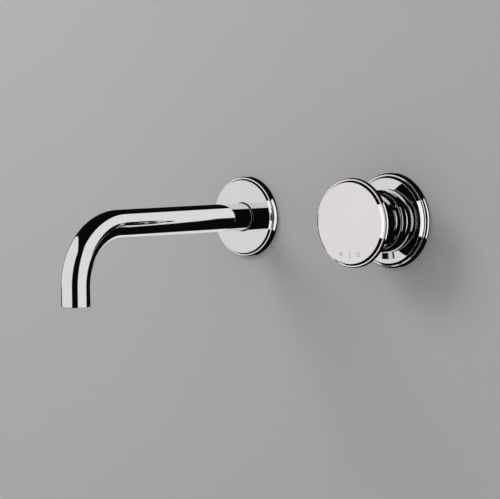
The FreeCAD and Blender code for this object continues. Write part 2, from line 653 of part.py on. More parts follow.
def port_holes(low, high, grow=0.0):
    """The two inlet ports and the outlet port of the cartridge, as cutting cylinders."""
    inlet_r = PORT_DIAMETER / 2 + grow
    outlet_r = OUTLET_PORT_DIAMETER / 2 + grow
    return [
        along_y(inlet_r, low, high, -PORT_SPREAD, -PORT_DROP),
        along_y(inlet_r, low, high, PORT_SPREAD, -PORT_DROP),
        along_y(outlet_r, low, high, 0.0, OUTLET_PORT_RISE),
    ]


def make_cartridge_base():
    """Plastic base that closes the housing and carries the ports."""
    plug = along_y(HOUSING_BORE_R - SLIP, BASE_FRONT_Y, HOUSING_BACK_Y)
    flange = along_y(CARTRIDGE_R, HOUSING_BACK_Y, FLOOR_Y)
    base = plug.fuse(flange).cut(port_holes(BASE_FRONT_Y - 1, FLOOR_Y + 1))
    return base.cut(port_holes(FLOOR_Y - BASE_SEAL_CORD, FLOOR_Y + 1, BASE_SEAL_CORD + SLIP))


def make_base_seals():
    """Round rings that seal the ports against the floor of the valve body."""
    cord_r = BASE_SEAL_CORD / 2
    y = FLOOR_Y - cord_r
    inlet_r = PORT_DIAMETER / 2 + cord_r
    outlet_r = OUTLET_PORT_DIAMETER / 2 + cord_r
    return Part.makeCompound([
        cord_ring(inlet_r, cord_r, y, -PORT_SPREAD, -PORT_DROP),
        cord_ring(inlet_r, cord_r, y, PORT_SPREAD, -PORT_DROP),
        cord_ring(outlet_r, cord_r, y, 0.0, OUTLET_PORT_RISE),
    ])


def make_disc_gasket():
    """Rubber gasket under the fixed ceramic disc."""
    gasket = along_y(GASKET_DIAMETER / 2, FIXED_DISC_BACK_Y, BASE_FRONT_Y)
    return gasket.cut(port_holes(FIXED_DISC_BACK_Y - 1, BASE_FRONT_Y + 1))


def make_fixed_disc():
    """Fixed ceramic disc with the three ports."""
    disc = along_y(FIXED_DISC_DIAMETER / 2, FIXED_DISC_Y, FIXED_DISC_BACK_Y)
    return disc.cut(port_holes(FIXED_DISC_Y - 1, FIXED_DISC_BACK_Y + 1))


def make_moving_disc():
    """Sliding ceramic disc with the mixing pocket in its back."""
    disc = along_y(MOVING_DISC_DIAMETER / 2, DRIVER_BACK_Y, MOVING_DISC_BACK_Y)
    pocket = block(
        (-POCKET_WIDTH / 2, POCKET_WIDTH / 2),
        (MOVING_DISC_BACK_Y - POCKET_DEPTH, MOVING_DISC_BACK_Y + 1),
        (POCKET_OFFSET, POCKET_OFFSET + POCKET_HEIGHT),
    )
    return disc.cut(pocket)


def make_disc_driver():
    """Plastic slide that carries the moving disc and takes the ball of the stem."""
    driver = block(
        (-DRIVER_WIDTH / 2, DRIVER_WIDTH / 2),
        (DRIVER_Y, DRIVER_BACK_Y),
        (-DRIVER_HEIGHT / 2, DRIVER_HEIGHT / 2),
    )
    return driver.cut(along_y(BALL_R + SLIDE_CLEARANCE, DRIVER_Y - 1, DRIVER_BACK_Y + 1))


def make_lever_carrier():
    """Plastic rotor that turns with the knob, slotted for the stem and the slide."""
    neck = along_y(CARRIER_R, HOUSING_FRONT_Y - CARRIER_STAND_OUT, FLANGE_BACK_Y)
    flange = along_y(FLANGE_R, FLANGE_Y, DRIVER_BACK_Y)
    carrier = neck.fuse(flange).removeSplitter()
    slot_half = STEM_HALF + SLIDE_CLEARANCE
    front_y = HOUSING_FRONT_Y - CARRIER_STAND_OUT - 1
    reach = (-CARRIER_SLOT_REACH, CARRIER_SLOT_REACH)
    slot = block((-slot_half, slot_half), (front_y, FLANGE_BACK_Y + 1), reach)
    guide_half = DRIVER_WIDTH / 2 + SLIDE_CLEARANCE
    full_height = (-CARTRIDGE_R, CARTRIDGE_R)
    slide_way = block((-guide_half, guide_half), (FLANGE_BACK_Y, DRIVER_BACK_Y + 1), full_height)
    carrier = carrier.cut([slot, slide_way])
    return carrier.cut(along_x(PIN_DIAMETER / 2, -CARTRIDGE_R, CARTRIDGE_R, PIVOT_Y))


def make_lever_pin():
    """Steel pin that the stem tilts on."""
    half = math.sqrt(CARRIER_R ** 2 - (PIN_DIAMETER / 2) ** 2) - SLIDE_CLEARANCE
    return along_x(PIN_DIAMETER / 2, -half, half, PIVOT_Y)


def make_lever_stem():
    """Square brass stem with a cross hole, a thin inner arm and a ball end."""
    front_y = HUB_WEB_FRONT_Y + STEM_END_GAP
    half = STEM_HALF
    bar = block((-half, half), (front_y, PIVOT_Y + half), (-half, half))
    long_edges = [e for e in bar.Edges if abs(e.BoundBox.YLength - (PIVOT_Y + half - front_y)) < 1e-3]
    bar = bar.makeFillet(STEM_EDGE, long_edges)
    arm = along_y(STEM_NECK_DIAMETER / 2, PIVOT_Y, BALL_Y)
    ball = Part.makeSphere(BALL_R, V(0, BALL_Y, 0))
    stem = bar.fuse([arm, ball]).removeSplitter()
    return stem.cut(along_x(PIN_DIAMETER / 2 + RUNNING_CLEARANCE, -STEM_WIDTH, STEM_WIDTH, PIVOT_Y))


def make_knob_hub():
    """Wide cup-shaped hub with an inner boss that sits on the stem."""
    shell = turned([
        (HUB_BORE_R, HUB_REAR_Y),
        (HUB_R, HUB_REAR_Y),
        (HUB_R, KNOB_BACK_Y),
        (HUB_BORE_R, KNOB_BACK_Y),
    ])
    shell = round_circles(shell, HUB_REAR_ROUNDING, [(HUB_R, HUB_REAR_Y)])
    web = along_y(HUB_BORE_R + 1, HUB_WEB_FRONT_Y, HUB_WEB_REAR_Y)
    boss = along_y(HUB_BOSS_DIAMETER / 2, HUB_WEB_FRONT_Y, HUB_WEB_REAR_Y + HUB_BOSS_LENGTH)
    hub = shell.fuse([web, boss]).removeSplitter()
    half = STEM_HALF + SLIP
    socket = block((-half, half), (HUB_WEB_FRONT_Y + STEM_END_GAP, HUB_REAR_Y), (-half, half))
    screw_hole = along_z(SET_SCREW_DIAMETER / 2, -HUB_BOSS_DIAMETER, 0, 0.0, SET_SCREW_Y)
    access = along_z(PLUG_DIAMETER / 2, -HUB_R - 1, -HUB_BOSS_DIAMETER / 2 - 1, 0.0, SET_SCREW_Y)
    return hub.cut([socket, screw_hole, access])


def make_knob_set_screw():
    """Screw that locks the hub on the stem."""
    top_z = -(STEM_HALF + SLIP)
    return set_screw(0.0, SET_SCREW_Y, top_z - SET_SCREW_LENGTH, top_z, SET_SCREW_HEX)


def make_screw_plug():
    """Small plug that closes the screw's access hole under the hub."""
    low_z = -(HUB_R - PLUG_RECESS)
    return along_z(PLUG_DIAMETER / 2, low_z, low_z + PLUG_LENGTH, 0.0, SET_SCREW_Y)


def mark_shapes(front_y):
    """Centre line, left dot and right ring of the temperature marks."""
    back_y = KNOB_FACE_Y + MARK_DEPTH
    line = block(
        (-MARK_LINE_WIDTH / 2, MARK_LINE_WIDTH / 2), (front_y, back_y),
        (-MARK_DROP - MARK_LINE_LENGTH / 2, -MARK_DROP + MARK_LINE_LENGTH / 2),
    )
    dot = along_y(MARK_DOT_DIAMETER / 2, front_y, back_y, -MARK_SPREAD, -MARK_DROP)
    ring_r = MARK_RING_DIAMETER / 2
    circle = ring(ring_r, ring_r - MARK_RING_WIDTH, front_y, back_y, MARK_SPREAD, -MARK_DROP)
    return [line, dot, circle]


def make_knob_disc():
    """Round front plate with the stepped rim, a spigot at the back and engraved marks."""
    outer_r = KNOB_DIAMETER / 2
    foot_y = KNOB_BACK_Y - KNOB_BACK_ROUNDING
    rim = stepped_rim(
        outer_r, KNOB_FACE_DIAMETER / 2, KNOB_FACE_Y, KNOB_BEVEL_WIDTH, KNOB_BEVEL_DEPTH, foot_y
    )
    half = KNOB_BACK_ROUNDING * math.sqrt(0.5)
    corner_r = outer_r - KNOB_BACK_ROUNDING
    spigot_r = HUB_BORE_R - SLIP
    disc = turned([(0, KNOB_FACE_Y)] + rim + [
        (corner_r + half, foot_y + half, corner_r, KNOB_BACK_Y),
        (spigot_r, KNOB_BACK_Y),
        (spigot_r, HUB_WEB_FRONT_Y),
        (0, HUB_WEB_FRONT_Y),
    ])
    return disc.cut(mark_shapes(KNOB_FACE_Y - 1))


def make_valve_body():
    """Cast brass body: cartridge chamber, two inlets below and an outlet to the left."""
    chamber = along_y(BODY_R, BODY_FRONT_Y, FLOOR_Y)
    half_w = BLOCK_WIDTH / 2
    half_h = BLOCK_HEIGHT / 2
    core = block((-half_w, half_w), (BLOCK_FRONT_Y, BLOCK_BACK_Y), (-half_h, half_h))
    corners = [e for e in core.Edges if abs(e.BoundBox.YLength - (BLOCK_BACK_Y - BLOCK_FRONT_Y)) < 1e-3]
    core = core.makeFillet(BLOCK_ROUNDING, corners)
    inlets = [
        along_z(INLET_BOSS_DIAMETER / 2, -INLET_REACH, 0, x, CHANNEL_Y) for x in (-INLET_SPREAD, INLET_SPREAD)
    ]
    outlet = along_link(THREAD_R, BODY_BOSS_X, 0)
    body = chamber.fuse([core, outlet] + inlets).removeSplitter()
    cuts = [
        along_y(NUT_THREAD_DIAMETER / 2, BODY_FRONT_Y - 1, SHOULDER_Y),
        along_y(CARTRIDGE_R + SLIP, SHOULDER_Y - 1, FLOOR_Y),
        along_link(OUTLET_CHANNEL_DIAMETER / 2, BODY_BOSS_X - 1, 0),
        along_link(PIPE_R + SLIP, BODY_BOSS_X - 1, BODY_BOSS_X + PIPE_SOCKET_DEPTH),
    ]
    cuts += port_holes(FLOOR_Y - 1, CHANNEL_Y)
    for side in (-1, 1):
        x = side * INLET_SPREAD
        cuts.append(along_z(THREAD_BORE_R, -INLET_REACH - 1, -INLET_REACH + INLET_THREAD_DEPTH, x, CHANNEL_Y))
        cuts.append(along_z(INLET_BORE_DIAMETER / 2, -INLET_REACH, -PORT_DROP, x, CHANNEL_Y))
        low, high = sorted((side * PORT_SPREAD, x))
        cuts.append(along_x(CHANNEL_DIAMETER / 2, low, high, CHANNEL_Y, -PORT_DROP))
    for x, z in PLATE_SCREWS[:2]:
        cuts.append(along_y(PLATE_SCREW_R, PLATE_SCREW_TIP_Y, BLOCK_BACK_Y + 1, x, z))
    return body.cut(cuts)


def make_spout_elbow():
    """Brass elbow that takes the link pipe on its right and the spout nipple in front."""
    half = ELBOW_BLOCK_WIDTH / 2
    core = block(
        (SPOUT_X - half, SPOUT_X + half),
        (CHANNEL_Y - half, BLOCK_BACK_Y),
        (-ELBOW_BLOCK_LOW, ELBOW_BLOCK_HIGH),
    )
    socket = along_y(ELBOW_SOCKET_DIAMETER / 2, ELBOW_SOCKET_DEPTH, CHANNEL_Y, SPOUT_X)
    boss = along_link(THREAD_R, SPOUT_X, ELBOW_BOSS_X)
    elbow = core.fuse([socket, boss]).removeSplitter()
    cuts = [
        along_y(THREAD_BORE_R, ELBOW_SOCKET_DEPTH - 1, ELBOW_SOCKET_DEPTH + ELBOW_THREAD_DEPTH, SPOUT_X),
        along_y(ELBOW_BORE_DIAMETER / 2, ELBOW_SOCKET_DEPTH, CHANNEL_Y, SPOUT_X),
        along_link(OUTLET_CHANNEL_DIAMETER / 2, SPOUT_X, ELBOW_BOSS_X + 1),
        along_link(PIPE_R + SLIP, ELBOW_BOSS_X - PIPE_SOCKET_DEPTH, ELBOW_BOSS_X + 1),
    ]
    for x, z in PLATE_SCREWS[2:]:
        cuts.append(along_y(PLATE_SCREW_R, PLATE_SCREW_TIP_Y, BLOCK_BACK_Y + 1, x, z))
    return elbow.cut(cuts)


def make_link_pipe():
    """Pipe that carries mixed water from the valve body to the spout elbow."""
    low = ELBOW_BOSS_X - PIPE_SOCKET_DEPTH
    high = BODY_BOSS_X + PIPE_SOCKET_DEPTH
    pipe = along_link(PIPE_R, low, high)
    return pipe.cut(along_link(PIPE_R - PIPE_WALL, low - 1, high + 1))


def make_link_nut(mouth_x, side):
    """Compression nut over one boss; side is the way from the boss to the pipe."""
    start_x = mouth_x - side * NUT_OVER_BOSS
    low = min(start_x, start_x + side * LINK_NUT_LENGTH)
    nut = hexagon(LINK_NUT_HEX, V(low, CHANNEL_Y, LINK_HEIGHT), X_AXIS, LINK_NUT_LENGTH, Y_AXIS)
    boss_low, boss_high = sorted((start_x - side, mouth_x))
    olive_low, olive_high = sorted((mouth_x, mouth_x + side * OLIVE_LENGTH))
    return nut.cut([
        along_link(THREAD_R + SLIP, boss_low, boss_high),
        along_link(OLIVE_DIAMETER / 2, olive_low, olive_high),
        along_link(PIPE_R + SLIP, low - 1, low + LINK_NUT_LENGTH + 1),
    ])


def make_link_olive(mouth_x, side):
    """Brass olive squeezed between boss, nut and pipe."""
    low, high = sorted((mouth_x, mouth_x + side * OLIVE_LENGTH))
    olive = along_link(OLIVE_DIAMETER / 2, low, high)
    olive = olive.makeChamfer(OLIVE_CHAMFER, [e for e in olive.Edges if isinstance(e.Curve, Part.Circle)])
    return olive.cut(along_link(PIPE_R, low - 1, high + 1))


def make_mounting_plate():
    """Steel plate that carries body and elbow, with four fixing holes to the wall behind."""
    half = PLATE_HEIGHT / 2
    plate = block((PLATE_LEFT_X, PLATE_RIGHT_X), (BLOCK_BACK_Y, PLATE_BACK_Y), (-half, half))
    corners = [e for e in plate.Edges if abs(e.BoundBox.YLength - PLATE_THICKNESS) < 1e-3]
    plate = plate.makeFillet(PLATE_CORNER, corners)
    holes = []
    for x in (FIXING_LEFT_X, FIXING_RIGHT_X):
        for z in (-FIXING_Z, FIXING_Z):
            holes.append(along_y(FIXING_HOLE_DIAMETER / 2, BLOCK_BACK_Y - 1, PLATE_BACK_Y + 1, x, z))
    for x, z in PLATE_SCREWS:
        holes.append(along_y(PLATE_SCREW_R, BLOCK_BACK_Y - 1, PLATE_BACK_Y + 1, x, z))
    return plate.cut(holes)


def make_plate_screws():
    """Four pan head screws through the plate from behind."""
    screws = []
    for x, z in PLATE_SCREWS:
        shank = along_y(PLATE_SCREW_R, PLATE_SCREW_TIP_Y, PLATE_BACK_Y, x, z)
        head = along_y(PLATE_SCREW_HEAD_DIAMETER / 2, PLATE_BACK_Y, PLATE_SCREW_HEAD_Y, x, z)
        screws.append(shank.fuse(head).removeSplitter())
    return Part.makeCompound(screws)


def build():
    """Every piece of the mixer under its node name."""
    washer_r = NIPPLE_HEX / 2
    return {
        "valve_body": make_valve_body(),
        "mounting_plate": make_mounting_plate(),
        "plate_screws": make_plate_screws(),
        "link_pipe": make_link_pipe(),
        "link_nuts": Part.makeCompound([make_link_nut(x, side) for x, side in LINK_ENDS]),
        "link_olives": Part.makeCompound([make_link_olive(x, side) for x, side in LINK_ENDS]),
        "spout_elbow": make_spout_elbow(),
        "spout_nipple": make_nipple(),
        "nipple_washer": ring(washer_r, THREAD_BORE_R, NIPPLE_FLANGE_BACK_Y, ELBOW_SOCKET_DEPTH, SPOUT_X),
        "nipple_rings": make_nipple_rings(),
        "spout_tube": make_spout_tube(),
        "spout_set_screw": make_spout_set_screw(),
        "spout_rosette": make_spout_rosette(),
        "spout_rosette_ring": rosette_ring(SPOUT_X, TUBE_R, SPOUT_ROSETTE_BORE_R),
        "spout_wall_seal": make_wall_seal(
            SPOUT_X, SPOUT_ROSETTE_DIAMETER / 2, SPOUT_BEVEL_DEPTH, SPOUT_ROSETTE_BORE_R + SPOUT_BOSS_WALL
        ),
        "aerator_shell": make_aerator_shell(),
        "aerator_insert": make_aerator_insert(),
        "aerator_washer": make_aerator_washer(),
        "knob_rosette": make_knob_rosette(),
        "knob_rosette_ring": rosette_ring(0.0, SLEEVE_R, KNOB_ROSETTE_BORE_R),
        "knob_wall_seal": make_wall_seal(
            0.0, KNOB_ROSETTE_DIAMETER / 2, KNOB_ROSETTE_BEVEL_DEPTH, KNOB_ROSETTE_BORE_R + KNOB_BOSS_WALL
        ),
        "control_sleeve": make_sleeve(),
        "dome_cap": make_dome_cap(),
        "cartridge_nut": make_cartridge_nut(),
        "cartridge_housing": make_cartridge_housing(),
        "cartridge_base": make_cartridge_base(),
        "base_seals": make_base_seals(),
        "disc_gasket": make_disc_gasket(),
        "fixed_disc": make_fixed_disc(),
        "lever_carrier": make_lever_carrier(),
        "lever_pin": make_lever_pin(),
        "disc_driver": make_disc_driver(),
        "moving_disc": make_moving_disc(),
        "lever_stem": make_lever_stem(),
        "knob_hub": make_knob_hub(),
        "knob_disc": make_knob_disc(),
        "knob_set_screw": make_knob_set_screw(),
        "screw_plug": make_screw_plug(),
        "temperature_marks": Part.makeCompound(mark_shapes(KNOB_FACE_Y)),
    }


os.makedirs("parts", exist_ok=True)
for node, shape in build().items():
    shape.exportStep(os.path.join("parts", node + ".step"))
    print(node, "solids", len(shape.Solids), "valid", shape.isValid(), "volume", round(shape.Volume, 1))
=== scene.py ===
import json
import math

import bmesh
import bpy
from bpy.props import FloatProperty, FloatVectorProperty, IntProperty, PointerProperty
from mathutils import Matrix, Vector


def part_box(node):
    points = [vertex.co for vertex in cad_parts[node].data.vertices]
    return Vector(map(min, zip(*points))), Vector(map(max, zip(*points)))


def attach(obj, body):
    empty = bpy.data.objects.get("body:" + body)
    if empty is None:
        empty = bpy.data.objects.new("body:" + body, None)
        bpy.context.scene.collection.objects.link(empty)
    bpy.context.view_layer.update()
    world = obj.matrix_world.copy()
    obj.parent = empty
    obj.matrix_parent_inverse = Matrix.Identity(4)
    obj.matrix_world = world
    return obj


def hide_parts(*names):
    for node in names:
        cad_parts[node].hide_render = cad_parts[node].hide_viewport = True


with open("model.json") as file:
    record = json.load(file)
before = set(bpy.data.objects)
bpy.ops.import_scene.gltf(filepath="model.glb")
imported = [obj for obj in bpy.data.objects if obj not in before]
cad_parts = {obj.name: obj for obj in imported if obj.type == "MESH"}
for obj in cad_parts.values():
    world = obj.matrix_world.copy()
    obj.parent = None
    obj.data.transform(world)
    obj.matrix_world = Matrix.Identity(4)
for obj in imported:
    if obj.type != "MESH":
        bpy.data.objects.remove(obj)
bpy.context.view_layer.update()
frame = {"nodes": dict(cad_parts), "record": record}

bl_info = {
    "name": "Concealed Basin Mixer",
    "version": (1, 0, 0),
    "blender": (4, 5, 0),
    "location": "View3D > Sidebar > Basin Mixer",
    "description": "Builds a wall-mounted basin mixer with a tube spout and a tilting disc knob",
    "category": "Add Mesh",
}


def length(name, description, default):
    """Property for a length or a place, in metres."""
    return FloatProperty(name=name, description=description, default=default, unit="LENGTH")


def tint(name, description, default):
    """Property for a colour."""
    return FloatVectorProperty(
        name=name, description=description, default=default, subtype="COLOR", size=3, min=0.0, max=1.0
    )


class MIXER_PG_spout(bpy.types.PropertyGroup):
    """Sizes of the spout tube and its rosette."""

    axis_x: length("Axis", "Distance of the spout axis from the control axis", -0.150)
    radius: length("Radius", "Outer radius of the tube", 0.011)
    wall: length("Wall", "Wall thickness of the tube", 0.0015)
    reach: length("Reach", "Wall to outlet axis", 0.196)
    drop: length("Drop", "Tube axis down to the outlet", 0.061)
    bend: length("Bend", "Radius of the bend's centre line", 0.046)
    depth: length("Depth", "Length of tube behind the wall face", 0.006)
    end_rounding: length("End rounding", "Rounding of the outlet's edges", 0.0003)
    screw_y: length("Screw place", "Depth of the set screw under the tube", -0.0136)


class MIXER_PG_rim(bpy.types.PropertyGroup):
    """Sizes of a rosette and its stepped rim."""

    radius: length("Radius", "Largest radius", 0.0325)
    face: length("Face", "Radius of the flat face", 0.0295)
    height: length("Height", "Wall to the flat face", 0.0066)
    bevel_width: length("Bevel width", "Width of the bevel", 0.0012)
    bevel_depth: length("Bevel depth", "Depth of the bevel", 0.0016)
    crest: length("Crest", "Width of the flat crest", 0.0009)
    bore: length("Bore", "Radius of the hole", 0.0117)
    boss: length("Boss", "Outer radius of the boss behind", 0.017)
    crown: length("Crown", "Rise of the face towards the hole", 0.0)


class MIXER_PG_neck(bpy.types.PropertyGroup):
    """Sizes of the sleeve, the dome and the hub behind the knob."""

    crown: length("Sleeve crown", "Largest sleeve radius", 0.0246)
    crown_y: length("Crown place", "Depth of the crown", -0.0105)
    crown_arc: length("Crown arc", "Radius of the crowned side", 0.016)
    shoulder: length("Shoulder", "Rounding of the shoulder", 0.003)
    front_y: length("Sleeve front", "Depth of the front rim", -0.0168)
    dome: length("Dome", "Radius of the dome", 0.02433)
    dome_edge: length("Dome edge", "Radius of the dome's edge", 0.019)
    opening: length("Opening", "Radius of the opening", 0.01188)
    hub: length("Hub", "Outer radius of the hub", 0.021)
    hub_wall: length("Hub wall", "Wall of the hub", 0.0016)
    hub_rear: length("Hub rear", "Depth of the hub's rear rim", -0.0208)


class MIXER_PG_knob(bpy.types.PropertyGroup):
    """Sizes of the knob disc and its marks."""

    radius: length("Radius", "Largest radius of the disc", 0.0342)
    face: length("Face", "Radius of the flat face", 0.031)
    front: length("Front", "Depth of the face's edge", -0.052)
    dish: length("Dish", "Hollow of the face", 0.00055)
    thickness: length("Thickness", "Thickness of the disc", 0.005)
    bevel_width: length("Bevel width", "Width of the bevel", 0.0015)
    bevel_depth: length("Bevel depth", "Depth of the bevel", 0.002)
    crest: length("Crest", "Width of the flat crest", 0.0009)
    mark_drop: length("Mark drop", "Marks below the axis", 0.0236)
    mark_spread: length("Mark spread", "Outer marks from the line", 0.0085)
    mark_depth: length("Mark depth", "Depth of the engraving", 0.0003)


class MIXER_PG_works(bpy.types.PropertyGroup):
    """Sizes of the brass works and the plate inside the wall."""

    chamber: length("Chamber", "Outer radius", 0.02312)
    half_width: length("Half width", "Half the body's width", 0.035)
    half_height: length("Half height", "Half the body's height", 0.022)
    front_y: length("Block front", "Front of the body's block", 0.030)
    back_y: length("Block back", "Back of the body's block", 0.059)
    channel_y: length("Channels", "Depth of all channels", 0.0455)
    inlet_x: length("Inlets", "Inlets from the middle", 0.020)
    inlet: length("Inlet", "Outer radius of an inlet", 0.013)
    inlet_z: length("Inlet end", "Height of the inlets' ends", -0.046)
    link_z: length("Link height", "Height of the link pipe", 0.009)
    boss: length("Boss", "Thread radius of the link bosses", 0.01048)
    pipe: length("Pipe", "Outer radius of the link pipe", 0.0075)
    nut_across: length("Nut", "Link nut across its flats", 0.024)
    plate_y: length("Plate", "Front of the mounting plate", 0.059)
    plate_thickness: length("Plate thickness", "Thickness of the mounting plate", 0.003)


class MIXER_PG_finish(bpy.types.PropertyGroup):
    """Colours of the visible finishes and of the room, and the fineness of turned pieces."""

    chrome: tint("Chrome", "Colour of the chrome plating", (0.88, 0.865, 0.865))
    knob_chrome: tint("Knob chrome", "Colour of the knob's plating", (0.895, 0.85, 0.86))
    brass: tint("Brass", "Colour of bare brass", (0.76, 0.56, 0.26))
    zinc: tint("Zinc", "Colour of the zinc plating", (0.60, 0.61, 0.62))
    wall: tint("Wall", "Colour of the wall", (0.42, 0.425, 0.43))
    floor: tint("Floor", "Colour of the floor", (0.78, 0.78, 0.77))
    facets: IntProperty(
        name="Facets", description="Facets round a turned chrome piece", default=192, min=24, max=512
    )


# Finishes


def feed(tree, socket, value):
    """Give a socket a number, a colour or another node's output."""
    if isinstance(value, bpy.types.NodeSocket):
        tree.links.new(value, socket)
    else:
        socket.default_value = value


def wire(tree, target, **inputs):
    """Feed the sockets of a node that are named like these arguments."""
    for name, value in inputs.items():
        feed(tree, target.inputs[name.replace("_", " ")], value)
    return target


def node(tree, kind, **inputs):
    """New node with these inputs."""
    return wire(tree, tree.nodes.new(kind), **inputs)


def either(tree, chance, first, second):
    """Mix of two shaders, which is the second one where the chance is 1."""
    mix = tree.nodes.new("ShaderNodeMixShader")
    for socket, value in zip(mix.inputs, (chance, first, second)):
        feed(tree, socket, value)
    return mix.outputs[0]


def blend(tree, first, second, share):
    """Weighted mean of two values, in which the first one has this share."""
    total = tree.nodes.new("ShaderNodeMath")
    for socket, value, part in zip(total.inputs, (first, second), (share, 1 - share)):
        weighted = tree.nodes.new("ShaderNodeMath")
        weighted.operation = "MULTIPLY"
        feed(tree, weighted.inputs[0], value)
        feed(tree, weighted.inputs[1], part)
        feed(tree, socket, weighted.outputs[0])
    return total.outputs[0]


def own_place(tree):
    """The object's own coordinates."""
    return tree.nodes.new("ShaderNodeTexCoord").outputs["Object"]


def grain(tree, size, stretch=(1, 1, 1), detail=3.0):
    """Noise with features of this size in metres."""
    place = node(tree, "ShaderNodeMapping", Scale=stretch, Vector=own_place(tree)).outputs["Vector"]
    return node(tree, "ShaderNodeTexNoise", Scale=1.0 / size, Detail=detail, Vector=place).outputs["Fac"]


def cells(tree, number):
    """Outputs of a cell pattern with this number of cells in a metre."""
    return node(tree, "ShaderNodeTexVoronoi", Scale=number, Vector=own_place(tree)).outputs


def spread(tree, value, low, high):
    """Map a noise value to the range from low to high."""
    return node(
        tree, "ShaderNodeMapRange", Value=value, From_Min=0.25, From_Max=0.75, To_Min=low, To_Max=high
    ).outputs["Result"]


def shade(colour, factor):
    """The colour made darker or lighter."""
    return tuple(min(c * factor, 1.0) for c in colour)


def shades(tree, value, dark, light):
    """Colour between two shades, driven by a noise value."""
    ramp = node(tree, "ShaderNodeValToRGB", Fac=value)
    for stop, place, colour in zip(ramp.color_ramp.elements, (0.3, 0.7), (dark, light)):
        stop.position = place
        stop.color = (*colour, 1)
    return ramp.outputs["Color"]


def relief(tree, value, height, strength):
    """Normals of a fine relief of this height in metres."""
    return node(tree, "ShaderNodeBump", Strength=strength, Distance=height, Height=value).outputs["Normal"]


def finish_of(name):
    """The finish mixed for this slot or surface."""
    return bpy.data.materials[name + "_finish"]


def new_finish(name, metallic, roughness, colour):
    """New finish with these values on its shader's own sockets; returns its node tree and the shader."""
    finish = bpy.data.materials.new(name + "_finish")
    finish.use_nodes = True
    finish.diffuse_color = (*colour, 1)
    tree = finish.node_tree
    shader = tree.nodes["Principled BSDF"]
    return tree, wire(tree, shader, Metallic=metallic, Roughness=roughness, Base_Color=(*colour, 1))


def chrome_finish(name, colour):
    """Mirror chrome with a faint unevenness in its polish."""
    tree, shader = new_finish(name, 1.0, 0.03, colour)
    wire(
        tree, shader,
        Base_Color=shades(tree, grain(tree, 0.03), shade(colour, 0.985), colour),
        Roughness=spread(tree, grain(tree, 0.012, detail=5.0), 0.018, 0.042),
    )


def cast_finish(name, colour):
    """Shot blasted casting: a sandy skin with darker patches left from the mould."""
    tree, shader = new_finish(name, 1.0, 0.5, colour)
    patch = blend(tree, grain(tree, 0.014), grain(tree, 0.0016), 0.6)
    sand = grain(tree, 0.0009, detail=6.0)
    wire(
        tree, shader,
        Base_Color=shades(tree, patch, shade(colour, 0.66), shade(colour, 0.96)),
        Roughness=spread(tree, sand, 0.42, 0.62),
        Normal=relief(tree, sand, 0.00022, 0.8),
    )


def turned_finish(name, colour, stretch=(1, 1, 1), rough=(0.16, 0.30)):
    """Bright turned or drawn metal with fine tool lines; the stretch is small along the lines."""
    tree, shader = new_finish(name, 1.0, 0.22, colour)
    lines = grain(tree, 0.0005, stretch, detail=4.0)
    tone = blend(tree, grain(tree, 0.01), lines, 0.55)
    wire(
        tree, shader,
        Base_Color=shades(tree, tone, shade(colour, 0.84), colour),
        Roughness=spread(tree, lines, *rough),
        Normal=relief(tree, lines, 0.00003, 0.6),
    )


def zinc_finish(name, colour):
    """Zinc plated sheet with small soft spangles and rolling lines along its length."""
    tree, shader = new_finish(name, 1.0, 0.34, colour)
    spangle = node(tree, "ShaderNodeSeparateColor", Color=cells(tree, 430.0)["Color"]).outputs
    tone = blend(tree, spangle["Red"], grain(tree, 0.03, detail=5.0), 0.25)
    rolled = grain(tree, 0.0008, (0.04, 1, 1), detail=4.0)
    wire(
        tree, shader,
        Base_Color=shades(tree, tone, shade(colour, 0.86), colour),
        Roughness=spread(tree, spangle["Green"], 0.30, 0.37),
        Normal=relief(tree, rolled, 0.00004, 0.5),
    )


def soft_finish(name, colour, roughness, skin, height, patch=0.012, dark=0.88):
    """Painted, moulded or fired surface: slight patches of tone and a fine skin of this grain and height."""
    tree, shader = new_finish(name, 0.0, roughness, colour)
    texture = grain(tree, skin)
    wire(
        tree, shader,
        Base_Color=shades(tree, grain(tree, patch), shade(colour, dark), colour),
        Roughness=spread(tree, texture, roughness * 0.88, min(roughness * 1.12, 1.0)),
        Normal=relief(tree, texture, height, 0.6),
    )


def foam_finish(name, colour):
    """Closed cell foam with small round cells, with painted shade in their hollows."""
    tree, shader = new_finish(name, 0.0, 0.85, colour)
    # The hollows of the cells are painted darker as shade and their rims lighter; the same pattern gives the
    # relief
    cell_depth_and_shade = cells(tree, 1400.0)["Distance"]
    wire(
        tree, shader,
        Base_Color=shades(tree, cell_depth_and_shade, shade(colour, 0.7), shade(colour, 1.2)),
        Normal=relief(tree, cell_depth_and_shade, 0.00025, 0.8),
    )


# Modelling by hand

MERGE = 2e-6  # points closer than this become one
CLOSE = 1e-6  # slack in a test for a place
PAST = 0.001  # how far a cutter reaches past the face that it opens
VOXEL = 0.0009  # grain of the castings
LINK_PITCH = 0.0015


def deselect_all():
    """Leave edit mode and select nothing."""
    if bpy.context.object and bpy.context.object.mode != "OBJECT":
        bpy.ops.object.mode_set(mode="OBJECT")
    bpy.ops.object.select_all(action="DESELECT")


def pick(piece):
    """Make this the only selected object and the active one."""
    deselect_all()
    piece.select_set(True)
    bpy.context.view_layer.objects.active = piece


def choose(parts, wanted):
    """In edit mode, select those "verts" or "edges" of the mesh that pass the test."""
    piece = bpy.context.object
    bpy.ops.mesh.select_all(action="DESELECT")
    mesh = bmesh.from_edit_mesh(piece.data)
    found = 0
    for part in getattr(mesh, parts):
        part.select = wanted(part)
        found += part.select
    mesh.select_flush_mode()
    bmesh.update_edit_mesh(piece.data)
    if not found:
        raise RuntimeError("nothing to select on " + piece.name)


def modify(piece, kind, **settings):
    """Add a modifier with these settings and apply it."""
    pick(piece)
    bpy.ops.object.modifier_add(type=kind)
    modifier = piece.modifiers[-1]
    for name, value in settings.items():
        setattr(modifier, name, value)
    bpy.ops.object.modifier_apply(modifier=modifier.name)


def settle(name):
    """Name the active object and put its place into its mesh."""
    piece = bpy.context.object
    piece.name = piece.data.name = name
    bpy.ops.object.transform_apply(location=True, rotation=True, scale=True)
    return piece


